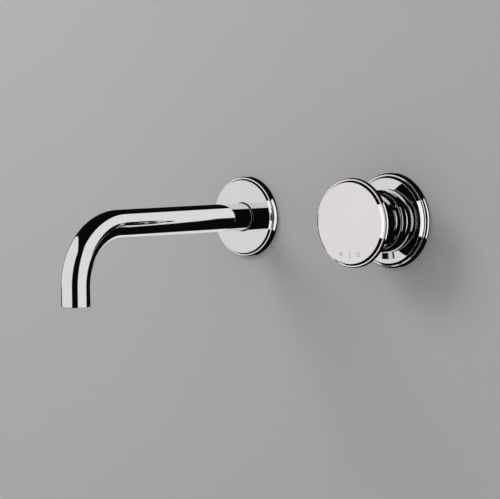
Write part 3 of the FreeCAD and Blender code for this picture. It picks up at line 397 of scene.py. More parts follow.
def draw_outline(name, outline):
    """Draw half a section beside the Y axis, and leave it in edit mode.

    It is closed where it starts off the axis.
    A point has a radius and a depth. With three more numbers it is reached by an arc: the first
    two are its centre and the third is its number of steps.
    """
    radius, depth = outline[0]
    deselect_all()
    bpy.ops.mesh.primitive_plane_add(size=0.001)
    piece = settle(name)
    bpy.ops.object.mode_set(mode="EDIT")
    bpy.ops.mesh.select_mode(type="VERT")
    bpy.ops.mesh.merge(type="CENTER")
    bpy.ops.transform.translate(value=(radius, depth, 0))
    for x, y, *arc in outline[1:]:
        if arc:
            centre, steps = Vector(arc[:2]), arc[2]
            angle = (Vector((radius, depth)) - centre).angle_signed(Vector((x, y)) - centre)
            bpy.ops.mesh.spin(steps=steps, angle=angle, center=(*centre, 0), axis=(0, 0, 1))
        else:
            bpy.ops.mesh.extrude_vertices_move(TRANSFORM_OT_translate={"value": (x - radius, y - depth, 0)})
        radius, depth = x, y
    if outline[0][0] > 0:
        choose("verts", lambda vertex: len(vertex.link_edges) == 1)
        bpy.ops.mesh.edge_face_add()
    return piece


def make_clean():
    """In edit mode, merge what coincides, turn all faces outwards and leave edit mode."""
    bpy.ops.mesh.select_all(action="SELECT")
    bpy.ops.mesh.remove_doubles(threshold=MERGE)
    bpy.ops.mesh.normals_make_consistent(inside=False)
    bpy.ops.object.mode_set(mode="OBJECT")


def finish_piece(piece, body, slot, *nodes, corner=34.0):
    """Shade the piece, give it its slot's finish, hang it on what it rides on and hide the CAD nodes that it
    stands for.

    Corners sharper than this angle stay sharp, and flat faces are left truly flat.
    """
    pick(piece)
    bpy.ops.object.shade_smooth_by_angle(angle=math.radians(corner))
    modify(piece, "WEIGHTED_NORMAL", mode="FACE_AREA", keep_sharp=True)
    if not piece.data.materials:
        piece.data.materials.append(finish_of(slot))
    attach(piece, body)
    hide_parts(*nodes)
    deselect_all()


def stepped_rim(rim, face_y, foot_y):
    """Points of a stepped rim after the flat face: bevel, crest and a side that is upright at its foot."""
    crest_y = face_y + rim.bevel_depth
    edge = rim.face + rim.bevel_width + rim.crest
    width = rim.radius - edge
    height = foot_y - crest_y
    arc = (width ** 2 + height ** 2) / (2 * width)
    return [
        (rim.face + rim.bevel_width, crest_y),
        (edge, crest_y),
        (rim.radius, foot_y, rim.radius - arc, foot_y, 10),
    ]


def rim_edges(rim, face_y):
    """Radius, depth and rounding of the three edges of a stepped rim."""
    crest_y = face_y + rim.bevel_depth
    crest = rim.face + rim.bevel_width
    return [(rim.face, face_y, 0.00012), (crest, crest_y, 0.00008), (crest + rim.crest, crest_y, 0.00015)]


def cut_away(piece, cutter, operation="DIFFERENCE"):
    """Cut a shape out of the piece and delete the cutter, whose finish, if any, goes to the new faces."""
    mode = "TRANSFER" if cutter.data.materials else "INDEX"
    modify(piece, "BOOLEAN", operation=operation, solver="EXACT", material_mode=mode, object=cutter)
    bpy.data.objects.remove(cutter)


def join_into(piece, *others):
    """Join the other pieces to this one, which keeps its name."""
    pick(piece)
    for other in others:
        other.select_set(True)
    bpy.ops.object.join()
    return piece


def lay(piece, place, turn=(0, 0, 0)):
    """Turn a piece about the origin and move it, all within its mesh."""
    pick(piece)
    piece.rotation_euler = turn
    piece.location = place
    bpy.ops.object.transform_apply(location=True, rotation=True, scale=True)
    return piece


def copy_to(piece, place, turn=(0, 0, 0)):
    """Copy of a piece with its own mesh, turned and moved."""
    pick(piece)
    bpy.ops.object.duplicate(linked=False)
    return lay(bpy.context.object, place, turn)


# Turns that lay the Y axis of a turned piece along another one
ALONG_X = (0, 0, -math.pi / 2)
BACK_ALONG_X = (0, 0, math.pi / 2)
ALONG_Z = (math.pi / 2, 0, 0)


def turned(name, outline, place=(0, 0, 0), turn=(0, 0, 0), facets=96, finish=None, rounded=()):
    """Piece turned about the Y axis, then laid in its place.

    Each corner to be rounded has a radius, a depth and its rounding, and may have a number of steps.
    """
    piece = draw_outline(name, outline)
    for radius, depth, rounding, *steps in rounded:
        corner = Vector((radius, depth, 0))
        choose("verts", lambda vertex: (vertex.co - corner).length < MERGE)
        bpy.ops.mesh.bevel(offset=rounding, segments=(*steps, 4)[0], affect="VERTICES", offset_type="OFFSET")
    bpy.ops.mesh.select_all(action="SELECT")
    bpy.ops.mesh.spin(steps=facets, angle=2 * math.pi, center=(0, 0, 0), axis=(0, 1, 0))
    make_clean()
    if finish:
        piece.data.materials.append(finish_of(finish))
    return lay(piece, place, turn)


def polished(name, outline, rounded, place=(0, 0, 0)):
    """Visible turned piece, as fine as the user asks."""
    return turned(name, outline, place, facets=bpy.context.scene.mixer_finish.facets, rounded=rounded)


def machined(name, outline, place=(0, 0, 0), turn=(0, 0, 0)):
    """Turned cutter or collar that leaves bright brass faces."""
    return turned(name, outline, place, turn, finish="turned_brass")


def stepped_bore(mouth, step, end, wide=0.00755, narrow=0.005):
    """Outline of a bore, as for the link pipe: wide from its mouth to the step and narrow to its end."""
    return [(0, mouth), (wide, mouth), (wide, step), (narrow, step), (narrow, end), (0, end)]


def thread(crest, root, start, end, pitch):
    """Outline points of a thread, drawn as close rings."""
    turns = max(round(abs(end - start) / pitch), 1)
    step = (end - start) / turns
    profile = ((crest, 0.1), (root, 0.45), (root, 0.55), (crest, 0.9))
    return [(radius, start + step * (number + part)) for number in range(turns) for radius, part in profile]


def threaded_boss(crest, start, end):
    """Outline of a stub with a thread that stops short of both its ends."""
    low, deep, lead, tail = crest - 0.0010, 0.0007, 0.0005, 0.0010
    way = math.copysign(1.0, end - start)
    turns = thread(crest, crest - deep, start + lead * way, end - tail * way, LINK_PITCH)
    return [(0, start), (low, start), *turns, (low, end), (0, end)]


def screw_bores(places, back_y):
    """Bores for the plate's screws, open at the back."""
    radius, floor_y = 0.0026, 0.051
    return [add_rod("screw_bore", radius, (x, floor_y, z), (x, back_y + PAST, z), 24) for x, z in places]


def round_deep_edges(piece, rounding, steps=5):
    """Round the edges of a block that run along Y."""
    pick(piece)
    bpy.ops.object.mode_set(mode="EDIT")
    bpy.ops.mesh.select_mode(type="EDGE")
    choose("edges", lambda edge: abs((edge.verts[1].co - edge.verts[0].co).normalized().y) > 0.999)
    bpy.ops.mesh.bevel(offset=rounding, segments=steps, affect="EDGES")
    bpy.ops.mesh.select_mode(type="VERT")
    bpy.ops.object.mode_set(mode="OBJECT")


def cast(piece, *others):
    """Join rough shapes and melt them into one casting with soft inner corners."""
    join_into(piece, *others)
    modify(piece, "REMESH", mode="VOXEL", voxel_size=VOXEL)
    modify(piece, "SMOOTH", factor=0.5, iterations=8)
    piece.data.materials.clear()
    piece.data.materials.append(finish_of("cast_brass"))


def add_rod(name, radius, start, end, facets=48):
    """Cylinder from one point to another, with its place in its mesh."""
    deselect_all()
    start = Vector(start)
    way = Vector(end) - start
    turn = way.to_track_quat("Z", "Y").to_euler()
    bpy.ops.mesh.primitive_cylinder_add(
        vertices=facets, radius=radius, depth=way.length, location=start + way / 2, rotation=turn
    )
    return settle(name)


def add_block(name, low, high):
    """Box between two corners, with its place in its mesh."""
    deselect_all()
    low = Vector(low)
    high = Vector(high)
    bpy.ops.mesh.primitive_cube_add(size=1, location=(low + high) / 2, scale=high - low)
    return settle(name)


# Visible pieces

PLAY = 0.00005  # between a piece and the one that it fits into
SLEEVE_LIP = 0.0062  # thickness of the sleeve's lip, behind which the dome sits
WEB = 0.004  # thickness of the hub's web, and depth of the disc's spigot in front of it


class MIXER_OT_spout(bpy.types.Operator):
    """Bend the spout tube and bore its set screw hole"""

    bl_idname = "mixer.spout"
    bl_label = "Spout Tube"

    def execute(self, context):
        s = context.scene.mixer_spout
        bend_y = s.bend - s.reach
        strip = 0.004  # half length of the tube's strip that the hole is cut into
        deselect_all()
        bpy.ops.mesh.primitive_circle_add(
            vertices=128, radius=s.radius, location=(s.axis_x, s.depth, 0), rotation=(math.pi / 2, 0, 0)
        )
        tube = settle("bent_tube")
        bpy.ops.object.mode_set(mode="EDIT")
        bpy.ops.mesh.select_all(action="SELECT")
        place = s.depth
        for stop in (s.screw_y + strip, s.screw_y - strip, bend_y):
            bpy.ops.mesh.extrude_region_move(TRANSFORM_OT_translate={"value": (0, stop - place, 0)})
            place = stop
        bpy.ops.mesh.spin(steps=64, angle=-math.pi / 2, center=(s.axis_x, bend_y, -s.bend), axis=(1, 0, 0))
        bpy.ops.mesh.extrude_region_move(TRANSFORM_OT_translate={"value": (0, 0, s.bend - s.drop)})
        make_clean()
        modify(tube, "SOLIDIFY", thickness=s.wall, offset=-1)
        bpy.ops.object.mode_set(mode="EDIT")
        choose("verts", lambda vertex: vertex.co.z < CLOSE - s.drop)
        bpy.ops.mesh.bevel(offset=s.end_rounding, segments=4, affect="EDGES")
        bpy.ops.object.mode_set(mode="OBJECT")
        x, y = s.axis_x, s.screw_y
        cut_away(tube, add_rod("screw_hole", 0.00255, (x, y, -s.radius - 2 * PAST), (x, y, -0.006)))
        finish_piece(tube, "root", "chrome_spout", "spout_tube")
        return {"FINISHED"}


class MIXER_OT_rosettes(bpy.types.Operator):
    """Turn the two wall rosettes with their stepped rims"""

    bl_idname = "mixer.rosettes"
    bl_label = "Rosettes"

    def execute(self, context):
        scene = context.scene
        self.turn("spout_rose", "spout_rosette", scene.mixer_spout.axis_x, scene.mixer_spout_rim)
        self.turn("knob_rose", "knob_rosette", 0.0, scene.mixer_knob_rim)
        return {"FINISHED"}

    def turn(self, name, node_name, x, rim):
        """One rosette: flat face, bevel, crest and crowned side, hollow behind with a grooved boss."""
        shell, foot, gap = 0.002, 0.0007, 0.0008
        ring, ring_half = rim.bore + 0.0018, 0.001  # bottom and half width of the groove for the rubber ring
        face_y = -rim.height
        hole_y = face_y - rim.crown
        recess_y = face_y + rim.bevel_depth + shell
        ring_y = (face_y - gap) / 2
        inner = rim.radius - shell
        piece = polished(name, [
            (rim.bore, hole_y), (rim.face, face_y), *stepped_rim(rim, face_y, -foot), (rim.radius, 0),
            (inner, 0), (inner, recess_y), (rim.boss, recess_y), (rim.boss, -gap), (rim.bore, -gap),
            (rim.bore, ring_y + ring_half), (ring, ring_y + ring_half),
            (ring, ring_y - ring_half), (rim.bore, ring_y - ring_half),
        ], [(rim.bore, hole_y, 0.0003), *rim_edges(rim, face_y)], (x, 0, 0))
        finish_piece(piece, "root", "chrome_rosette", node_name)


class MIXER_OT_sleeve(bpy.types.Operator):
    """Turn the crowned sleeve that comes out of the knob rosette"""

    bl_idname = "mixer.sleeve"
    bl_label = "Sleeve"

    def execute(self, context):
        n = context.scene.mixer_neck
        rear_y = 0.010
        centre_r = n.crown - n.crown_arc
        face_y = -context.scene.mixer_knob_rim.height
        foot_r = centre_r + math.sqrt(n.crown_arc ** 2 - (face_y - n.crown_y) ** 2)
        shoulder_y = n.front_y + n.shoulder
        gap = n.crown_arc - n.shoulder
        meet = math.asin((n.crown_y - shoulder_y) / gap)
        shoulder_r = centre_r + gap * math.cos(meet)
        meet_r = centre_r + n.crown_arc * math.cos(meet)
        meet_y = n.crown_y - n.crown_arc * math.sin(meet)
        lip, lip_y = n.dome_edge + PLAY, n.front_y + SLEEVE_LIP
        bore = foot_r - 0.00095
        sleeve = polished("sleeve", [
            (bore, rear_y), (foot_r, rear_y), (foot_r, face_y),
            (meet_r, meet_y, centre_r, n.crown_y, 20), (shoulder_r, n.front_y, shoulder_r, shoulder_y, 20),
            (lip, n.front_y), (lip, lip_y), (bore, lip_y),
        ], [(lip, n.front_y, 0.00025)])
        finish_piece(sleeve, "root", "chrome_sleeve", "control_sleeve")
        return {"FINISHED"}


class MIXER_OT_dome(bpy.types.Operator):
    """Turn the dome that the lever stem comes through"""

    bl_idname = "mixer.dome"
    bl_label = "Dome"

    def execute(self, context):
        n = context.scene.mixer_neck
        pivot, shell, rear_y = 0.002, 0.0034, -0.001
        flange, flange_bore = 0.02312, 0.02112
        inner = n.dome - shell
        lip_y = n.front_y + SLEEVE_LIP
        step_y = lip_y + 0.0026

        def depth(radius, r):
            return pivot - math.sqrt(radius ** 2 - r ** 2)

        mouth_y = depth(n.dome, n.opening)
        dome = polished("dome", [
            (n.opening, mouth_y), (n.dome_edge, depth(n.dome, n.dome_edge), 0.0, pivot, 24),
            (n.dome_edge, lip_y), (flange, lip_y), (flange, rear_y), (flange_bore, rear_y),
            (flange_bore, step_y), (math.sqrt(inner ** 2 - (pivot - step_y) ** 2), step_y),
            (n.opening, depth(inner, n.opening), 0.0, pivot, 12),
        ], [(n.opening, mouth_y, 0.0004)])
        finish_piece(dome, "root", "chrome_sleeve", "dome_cap")
        return {"FINISHED"}


class MIXER_OT_hub(bpy.types.Operator):
    """Turn the hollow hub behind the disc, with its stem socket and screw access hole"""

    bl_idname = "mixer.hub"
    bl_label = "Knob Hub"

    def execute(self, context):
        n = context.scene.mixer_neck
        k = context.scene.mixer_knob
        back = k.front + k.thickness
        web_front = back + WEB
        web_rear = web_front + WEB
        screw_y, strip = web_rear + 0.007, 0.004  # place of the screw hole, half length of its strip
        boss, boss_end = 0.009, web_rear + 0.015
        socket = 0.00355  # half width of the square socket
        bore = n.hub - n.hub_wall
        hub = polished("hub", [
            (0.0, web_front), (bore, web_front), (bore, back), (n.hub, back), (n.hub, screw_y - strip),
            (n.hub, screw_y + strip), (n.hub, n.hub_rear), (bore, n.hub_rear), (bore, screw_y + strip),
            (bore, screw_y - strip), (bore, web_rear), (boss, web_rear), (boss, boss_end), (0.0, boss_end),
        ], [
            (n.hub, n.hub_rear, 0.0008, 12), (bore, n.hub_rear, 0.0002), (bore, web_rear, 0.0008),
            (boss, web_rear, 0.0008), (boss, boss_end, 0.0004),
        ])
        cut_away(hub, add_block(
            "stem_socket", (-socket, web_front + 0.001, -socket), (socket, n.hub_rear, socket)
        ))
        cut_away(hub, add_rod("access_hole", 0.003, (0, screw_y, -n.hub - PAST), (0, screw_y, -0.010)))
        finish_piece(hub, "knob", "chrome_knob", "knob_hub")
        return {"FINISHED"}


class MIXER_OT_disc(bpy.types.Operator):
    """Turn the knob's front disc and engrave its marks"""

    bl_idname = "mixer.disc"
    bl_label = "Knob Disc"

    def execute(self, context):
        k = context.scene.mixer_knob
        n = context.scene.mixer_neck
        edge = 0.0004  # rounding of the rear edge
        back = k.front + k.thickness
        spigot = n.hub - n.hub_wall - PLAY
        dish_y = k.front + k.dish
        dish_radius = (k.face ** 2 + k.dish ** 2) / (2 * k.dish)
        disc = polished("disc", [
            (0.0, dish_y), (k.face, k.front, 0.0, dish_y - dish_radius, 16),
            *stepped_rim(k, k.front, back - edge), (k.radius - edge, back, k.radius - edge, back - edge, 6),
            (spigot, back), (spigot, back + WEB), (0.0, back + WEB),
        ], rim_edges(k, k.front))
        cut_away(disc, mark_blanks("mark_cutter", k, k.front - PAST, mark_floor(k), 0.0))
        finish_piece(disc, "knob", "chrome_knob", "knob_disc")
        return {"FINISHED"}


def mark_floor(k):
    """Depth of the engraving's floor, below the dished face at the marks."""
    return k.front + k.dish * (1 - (k.mark_drop / k.face) ** 2) + k.mark_depth


def mark_blanks(name, k, front_y, back_y, shrink):
    """Centre line, left dot and right ring of the marks as one mesh of blocks and rods."""
    half_wide, half_high, dot, ring, hole = 0.00035, 0.0035, 0.0016, 0.0018, 0.0011
    x, z = k.mark_spread, -k.mark_drop
    line = add_block(
        name,
        (shrink - half_wide, front_y, z - half_high + shrink),
        (half_wide - shrink, back_y, z + half_high - shrink),
    )
    left = add_rod("dot", dot - shrink, (-x, front_y, z), (-x, back_y, z), 64)
    right = add_rod("circle", ring - shrink, (x, front_y, z), (x, back_y, z), 64)
    cut_away(right, add_rod("middle", hole + shrink, (x, front_y - PAST, z), (x, back_y + PAST, z), 64))
    return join_into(line, left, right)


class MIXER_OT_marks(bpy.types.Operator):
    """Fill the engraved marks with enamel"""

    bl_idname = "mixer.marks"
    bl_label = "Temperature Marks"

    def execute(self, context):
        k = context.scene.mixer_knob
        floor_y = mark_floor(k)
        level, play = 0.6, 0.00001  # share of the engraving that is filled, and gap beside the enamel
        fill = mark_blanks("mark_enamel", k, floor_y - k.mark_depth * level, floor_y, play)
        finish_piece(fill, "knob", "mark_fill", "temperature_marks")
        return {"FINISHED"}


# Works inside the wall

# X and Z of the screws that hold the body and the elbow to the plate
BODY_SCREWS = ((0.028, 0.015), (-0.028, 0.015))
ELBOW_SCREWS = ((-0.159, 0.017), (-0.141, -0.011))
LINK_START, LINK_STOP = -0.130, -0.040  # ends of the link pipe in its sockets


class MIXER_OT_valve_body(bpy.types.Operator):
    """Cast the valve body, then machine its chamber, inlets, outlet and screw holes"""

    bl_idname = "mixer.valve_body"
    bl_label = "Valve Body"

    def execute(self, context):
        w = context.scene.mixer_works
        y, end = w.channel_y, w.inlet_z
        low, high, web = -0.0010, 0.0145, 0.004  # ends of the chamber's collar and half thickness of the web
        mouth, chamber, seat, floor_y = 0.0205, 0.0195, 0.01755, 0.034
        flare, root, crest, drill = 0.0108, 0.0102, 0.00932, 0.006  # radii in an inlet
        middle, inlets, top = (0, y, w.link_z), (-w.inlet_x, w.inlet_x), end + 0.0085
        body = add_block(
            "cast_body", (-w.half_width, w.front_y, -w.half_height), (w.half_width, w.back_y, w.half_height)
        )
        round_deep_edges(body, 0.005)
        # The rough shapes are slightly smaller than the machined collars round their ends
        cast(
            body,
            add_rod("rough_chamber", w.chamber - 0.0002, (0, 0.0125, 0), (0, floor_y, 0), 96),
            add_rod("rough_outlet", w.boss - 0.0001, (-0.038, y, w.link_z), middle),
            add_block("rough_web", (-w.inlet_x, y - web, -0.036), (w.inlet_x, y + web, 0)),
            *(add_rod("rough_inlet", w.inlet - 0.0002, (x, y, end + 0.007), (x, y, 0)) for x in inlets),
        )
        collars = [
            machined("collar", [
                (0, low), (w.chamber - 0.0005, low), (w.chamber, low + 0.0005), (w.chamber, high), (0, high),
            ]),
            machined("outlet_collar", threaded_boss(w.boss, -0.047, -0.0365), middle, ALONG_X),
        ]
        bores = [
            machined("chamber_bore", [
                (0, low - PAST), (mouth, low - PAST), (mouth, -0.0008), (chamber, 0.0002), (chamber, 0.008),
                (seat, 0.008), (seat, floor_y), (0, floor_y),
            ]),
            machined("outlet_bore", stepped_bore(-0.048, LINK_STOP, -0.024), middle, ALONG_X),
        ]
        for x in inlets:
            collars.append(machined("inlet_collar", [
                (0, end), (w.inlet - 0.0006, end), (w.inlet, end + 0.0006), (w.inlet, top), (0, top),
            ], (x, y, 0), ALONG_Z))
            bores.append(machined("inlet_bore", [
                (0, end - PAST), (flare, end - PAST), (flare, end), (root, end + 0.0008),
                *thread(crest, root, end + 0.0008, end + 0.0155, 0.00181), (0.0093, end + 0.016),
                (drill, end + 0.018), (drill, end + 0.024), (0, end + 0.024),
            ], (x, y, 0), ALONG_Z))
        cut_away(body, join_into(*collars), "UNION")
        cut_away(body, join_into(*bores, *screw_bores(BODY_SCREWS, w.back_y)))
        finish_piece(body, "root", "cast_brass", "valve_body")
        return {"FINISHED"}


class MIXER_OT_elbow(bpy.types.Operator):
    """Cast the spout elbow, then machine its socket, its boss and its screw holes"""

    bl_idname = "mixer.elbow"
    bl_label = "Spout Elbow"

    def execute(self, context):
        w = context.scene.mixer_works
        x, y = context.scene.mixer_spout.axis_x, w.channel_y
        middle = (0, y, w.link_z)
        mouth, collar_end = 0.012, 0.0195
        elbow = add_block("cast_elbow", (x - 0.015, w.front_y + 0.0005, -0.015), (x + 0.015, w.back_y, 0.022))
        round_deep_edges(elbow, 0.004)
        cast(
            elbow,
            add_rod("rough_socket", 0.0138, (x, 0.0175, 0), (x, y, 0)),
            add_rod("rough_boss", w.boss - 0.0001, (x, y, w.link_z), (x + 0.018, y, w.link_z)),
        )
        socket = machined("socket_collar", [
            (0, mouth), (0.0135, mouth), (0.014, mouth + 0.0005), (0.014, collar_end), (0, collar_end),
        ], (x, 0, 0))
        boss = machined("boss_collar", threaded_boss(w.boss, -0.123, -0.1335), middle, ALONG_X)
        cut_away(elbow, join_into(socket, boss), "UNION")
        cut_away(elbow, join_into(
            machined("socket_bore", stepped_bore(mouth - PAST, 0.030, y, 0.0094, 0.007), (x, 0, 0)),
            machined("boss_bore", stepped_bore(-0.122, LINK_START, -0.141), middle, ALONG_X),
            *screw_bores(ELBOW_SCREWS, w.back_y),
        ))
        finish_piece(elbow, "root", "cast_brass", "spout_elbow")
        return {"FINISHED"}


class MIXER_OT_link(bpy.types.Operator):
    """Make the two compression nuts and the pipe between body and elbow"""

    bl_idname = "mixer.link"
    bl_label = "Link Pipe"

    def execute(self, context):
        w = context.scene.mixer_works
        y, z = w.channel_y, w.link_z
        corner = w.nut_across / math.sqrt(3)
        flat = w.nut_across / 2 * 0.97
        slope = (corner - flat) * 0.58
        end, wide = 0.016, corner + 0.0001
        mouth, sleeve, crest, root, rim = 0.0083, 0.00765, 0.0098, 0.01052, 0.0112  # radii of the bore
        nut = turned("link_nut_pair", [(0, 0), (corner, 0), (corner, end), (0, end)], facets=6)
        cut_away(nut, turned("barrel", [
            (0, 0), (flat, 0), (wide, slope), (wide, end - slope), (flat, end), (0, end),
        ]), "INTERSECT")
        cut_away(nut, turned("nut_bore", [
            (0, -PAST), (mouth, -PAST), (mouth, 0), (sleeve, 0.0006), (sleeve, 0.003), (crest, 0.0044),
            *thread(root, crest, 0.0044, 0.0154, LINK_PITCH), (rim, end), (rim, end + PAST), (0, end + PAST),
        ]))
        lay(nut, (0, 0, 0), (0, math.radians(30), 0))
        far = copy_to(nut, (-0.115, y, z), BACK_ALONG_X)
        join_into(lay(nut, (-0.055, y, z), ALONG_X), far)
        finish_piece(nut, "root", "turned_brass", "link_nuts", corner=20.0)
        inner, bevel = w.pipe - 0.001, 0.0003
        edge = w.pipe - bevel
        pipe = turned("brass_link", [
            (inner, LINK_START), (edge, LINK_START), (w.pipe, LINK_START + bevel),
            (w.pipe, LINK_STOP - bevel), (edge, LINK_STOP), (inner, LINK_STOP),
        ], (0, y, z), ALONG_X)
        finish_piece(pipe, "root", "link_pipe", "link_pipe")
        return {"FINISHED"}


class MIXER_OT_plate(bpy.types.Operator):
    """Press the mounting plate and drive its screws"""

    bl_idname = "mixer.plate"
    bl_label = "Mounting Plate"

    def execute(self, context):
        w = context.scene.mixer_works
        front, back = w.plate_y, w.plate_y + w.plate_thickness
        plate = add_block("back_plate", (-0.190, front, -0.032), (0.050, back, 0.032))
        round_deep_edges(plate, 0.006, 8)
        places = [(0.00325, x, z) for x in (-0.178, 0.038) for z in (-0.022, 0.022)]
        places += [(0.0027, x, z) for x, z in BODY_SCREWS + ELBOW_SCREWS]
        holes = [
            add_rod("hole", radius, (x, front - PAST, z), (x, back + PAST, z)) for radius, x, z in places
        ]
        holes += [self.groove(-0.118, -0.052, z, back) for z in (-0.020, 0.020)]
        cut_away(plate, join_into(*holes))
        modify(plate, "BEVEL", width=0.0004, segments=3, limit_method="ANGLE", angle_limit=math.radians(50))
        finish_piece(plate, "root", "steel_plate", "mounting_plate")
        screw = self.screw(back)
        (x, z), *rest = BODY_SCREWS + ELBOW_SCREWS
        others = [copy_to(screw, (x, 0, z)) for x, z in rest]
        join_into(lay(screw, (x, 0, z)), *others)
        finish_piece(screw, "root", "screw_steel", "plate_screws")
        return {"FINISHED"}

    def groove(self, left, right, z, back):
        """Cutter for a long round-ended stiffening groove in the back of the plate."""
        radius, deep = 0.003, 0.0009
        groove = add_rod("groove", radius, (left, back - deep, z), (left, back + PAST, z))
        bpy.ops.object.mode_set(mode="EDIT")
        choose("verts", lambda vertex: vertex.co.x > left + CLOSE)
        bpy.ops.transform.translate(value=(right - left, 0, 0))
        bpy.ops.object.mode_set(mode="OBJECT")
        return groove

    def screw(self, seat):
        """Domed head with a cross recess, and a threaded shank."""
        head, neck, root, dome = 0.0045, 0.0025, 0.0021, 0.00681  # radii
        long, short, deep = 0.0024, 0.00045, 0.0016  # half sizes and depth of the cross
        top, end = seat + 0.0025, seat - 0.011
        screw = turned("plate_screw_set", [
            (0, top), (head, seat + 0.0008, 0, top - dome, 10), (head, seat), (neck, seat),
            *thread(neck, root, seat - 0.0008, seat - 0.0102, 0.0009), (0.0018, end), (0, end),
        ], facets=48)
        for wide, high in ((long, short), (short, long)):
            cut_away(screw, add_block("recess", (-wide, top - deep, -high), (wide, top + PAST, high)))
        return screw


class MIXER_OT_aerator(bpy.types.Operator):
    """Turn the aerator's shell and cut its key slots"""

    bl_idname = "mixer.aerator"
    bl_label = "Aerator"

    def execute(self, context):
        s = context.scene.mixer_spout
        low = 0.001 - s.drop
        top = low + 0.010
        outer = s.radius - s.wall - PLAY
        root, inner = outer - 0.0004, outer - 0.0015
        lip, lip_y, edge = inner - 0.0014, low + 0.0012, 0.0003
        shell = turned("aerator_housing", [
            (lip, low + edge), (lip + edge, low), (outer - edge, low), (outer, low + edge),
            *thread(outer, root, low + 0.003, top - 0.0006, 0.001), (root, top), (inner, top),
            (inner, lip_y), (lip, lip_y),
        ], (s.axis_x, -s.reach, 0), ALONG_Z, 128)
        slots = []
        for number in range(4):
            turn = math.radians(90 * number)
            out = Vector((math.cos(turn), math.sin(turn), 0)) * (inner - 0.0012)
            base = Vector((s.axis_x, -s.reach, low)) + out
            start, end = base - Vector((0, 0, PAST)), base + Vector((0, 0, 0.0011))
            slots.append(add_rod("slot", 0.0011, start, end, 24))
        cut_away(shell, join_into(*slots))
        finish_piece(shell, "root", "turned_brass", "aerator_shell")
        return {"FINISHED"}


# Finishes of everything


class MIXER_OT_finishes(bpy.types.Operator):
    """Mix every finish and give the carried-over pieces theirs"""

    bl_idname = "mixer.finishes"
    bl_label = "Finishes"

    def execute(self, context):
        f = context.scene.mixer_finish
        chrome_finish("chrome_spout", f.chrome)
        chrome_finish("chrome_sleeve", f.chrome)
        # The rosettes' chrome is a darker copy of the same chrome: painted shade that stands in for less
        # light from the soft boxes on them
        chrome_finish("chrome_rosette", shade(f.chrome, 0.93))
        chrome_finish("chrome_knob", f.knob_chrome)
        cast_finish("cast_brass", f.brass)
        turned_finish("turned_brass", f.brass)
        turned_finish("link_pipe", shade(f.brass, 1.04), (0.02, 1, 1))
        turned_finish("screw_steel", shade(f.zinc, 1.08), rough=(0.24, 0.36))
        zinc_finish("steel_plate", f.zinc)
        soft_finish("white_plastic", (0.80, 0.80, 0.77), 0.42, 0.0006, 0.00002)
        soft_finish("grey_plastic", (0.11, 0.115, 0.12), 0.45, 0.0006, 0.00002)
        soft_finish("black_rubber", (0.022, 0.022, 0.024), 0.62, 0.0004, 0.00003, dark=0.7)
        soft_finish("fibre_washer", (0.30, 0.075, 0.04), 0.75, 0.0005, 0.00006, 0.003, 0.7)
        soft_finish("white_ceramic", (0.86, 0.85, 0.82), 0.2, 0.0004, 0.000004, dark=0.96)
        soft_finish("plug_plastic", (0.36, 0.37, 0.38), 0.4, 0.0005, 0.00002)
        soft_finish("mark_fill", (0.60, 0.59, 0.60), 0.4, 0.0003, 0.00001, 0.002, 0.92)
        foam_finish("foam_seal", (0.30, 0.30, 0.31))
        soft_finish("wall_paint", f.wall, 0.6, 0.0015, 0.00005, 0.25, 0.985)
        soft_finish("floor_paint", f.floor, 0.6, 0.002, 0.00005, 0.4, 0.985)
        for row in frame["record"]["subparts"]:
            piece = frame["nodes"][row["node"]]
            piece.material_slots[0].material = finish_of(row["material_slot"])
        return {"FINISHED"}


# Room, light and camera

# Each soft box faces the object from one azimuth in degrees. Its left, right, low and high edges
# are tangents seen from the origin. Then come its strength and the pieces that it lights, where
# None is for all but the spout and the neck.
SPOUT = ("bent_tube",)
ROSES = ("spout_rose", "knob_rose", "disc")
NECK = ("hub", "sleeve", "dome")
WORKS = (
    "valve_body", "cast_body", "cast_elbow", "link_nut_pair", "brass_link", "back_plate", "plate_screw_set",
)
SOFTBOXES = (
    ("left_front", -120, -5.0, 0.93, -0.84, 1.33, 0.80, None),
    ("left_spout", -120, -5.0, 0.93, -0.18, 1.33, 0.78, SPOUT),
    ("right_lower", 28, -1.60, 0.374, -0.75, 0.0, 0.81, SPOUT),
    ("right_upper", 28, -1.60, 6.0, 0.0, 1.96, 0.80, SPOUT),
    ("low", 118, -0.21, 0.30, -1.0, -0.20, 0.80, SPOUT),
    ("rim_front", -27, -0.17, 0.17, -0.64, 0.84, 1.10, ROSES),
    ("rim_gap", -3, -0.27, 0.36, -0.64, 0.80, 0.12, ("spout_rose", "disc")),
    ("rim_rear", 31, -0.23, 0.24, -0.64, 0.82, 1.10, ROSES),
    ("sides", 135, -0.55, 0.55, -0.30, 0.20, 0.80, ("knob_rose", "spout_rose")),
    ("crescents", 105, -0.46, 0.46, 0.27, 1.75, 0.80, ("sleeve", "dome")),
    ("neck_front", -42, -0.16, 0.16, -0.50, 0.80, 0.62, NECK),
    ("neck_left", -105, -0.36, 0.36, -0.8, 0.8, 0.15, NECK),
    ("works_right", 0, -1.0, 1.0, -1.0, 2.2, 0.75, WORKS),
    ("works_behind", 90, -1.0, 1.0, -1.0, 2.2, 0.95, WORKS),
    ("works_left", 180, -1.0, 1.0, -1.0, 2.2, 0.65, WORKS),
)
BOX_DISTANCE = 3.0
ROOM_LIGHT = 0.85  # strength of the even light from all sides
ROOM_MIRRORED = 0.004  # strength of the same room in the reflections
BACKDROP = (0.8, 0.8, 0.8, 1)
LAMP_PLACE = (-0.9, -1.1, 0.8)

# Camera solved from the photograph
CAMERA_ANGLES = (41.805, 3.228, -0.6)  # turn, rise and roll in degrees
CAMERA_AIM = (-0.075, 0, 0)
CAMERA_SHIFT = (-0.054292, -0.024123, 2.015005)  # from there to its right, upwards and back
SENSOR_WIDTH = 36.0
FOCAL_LENGTH = 2539.125 / 500  # in widths of the photograph


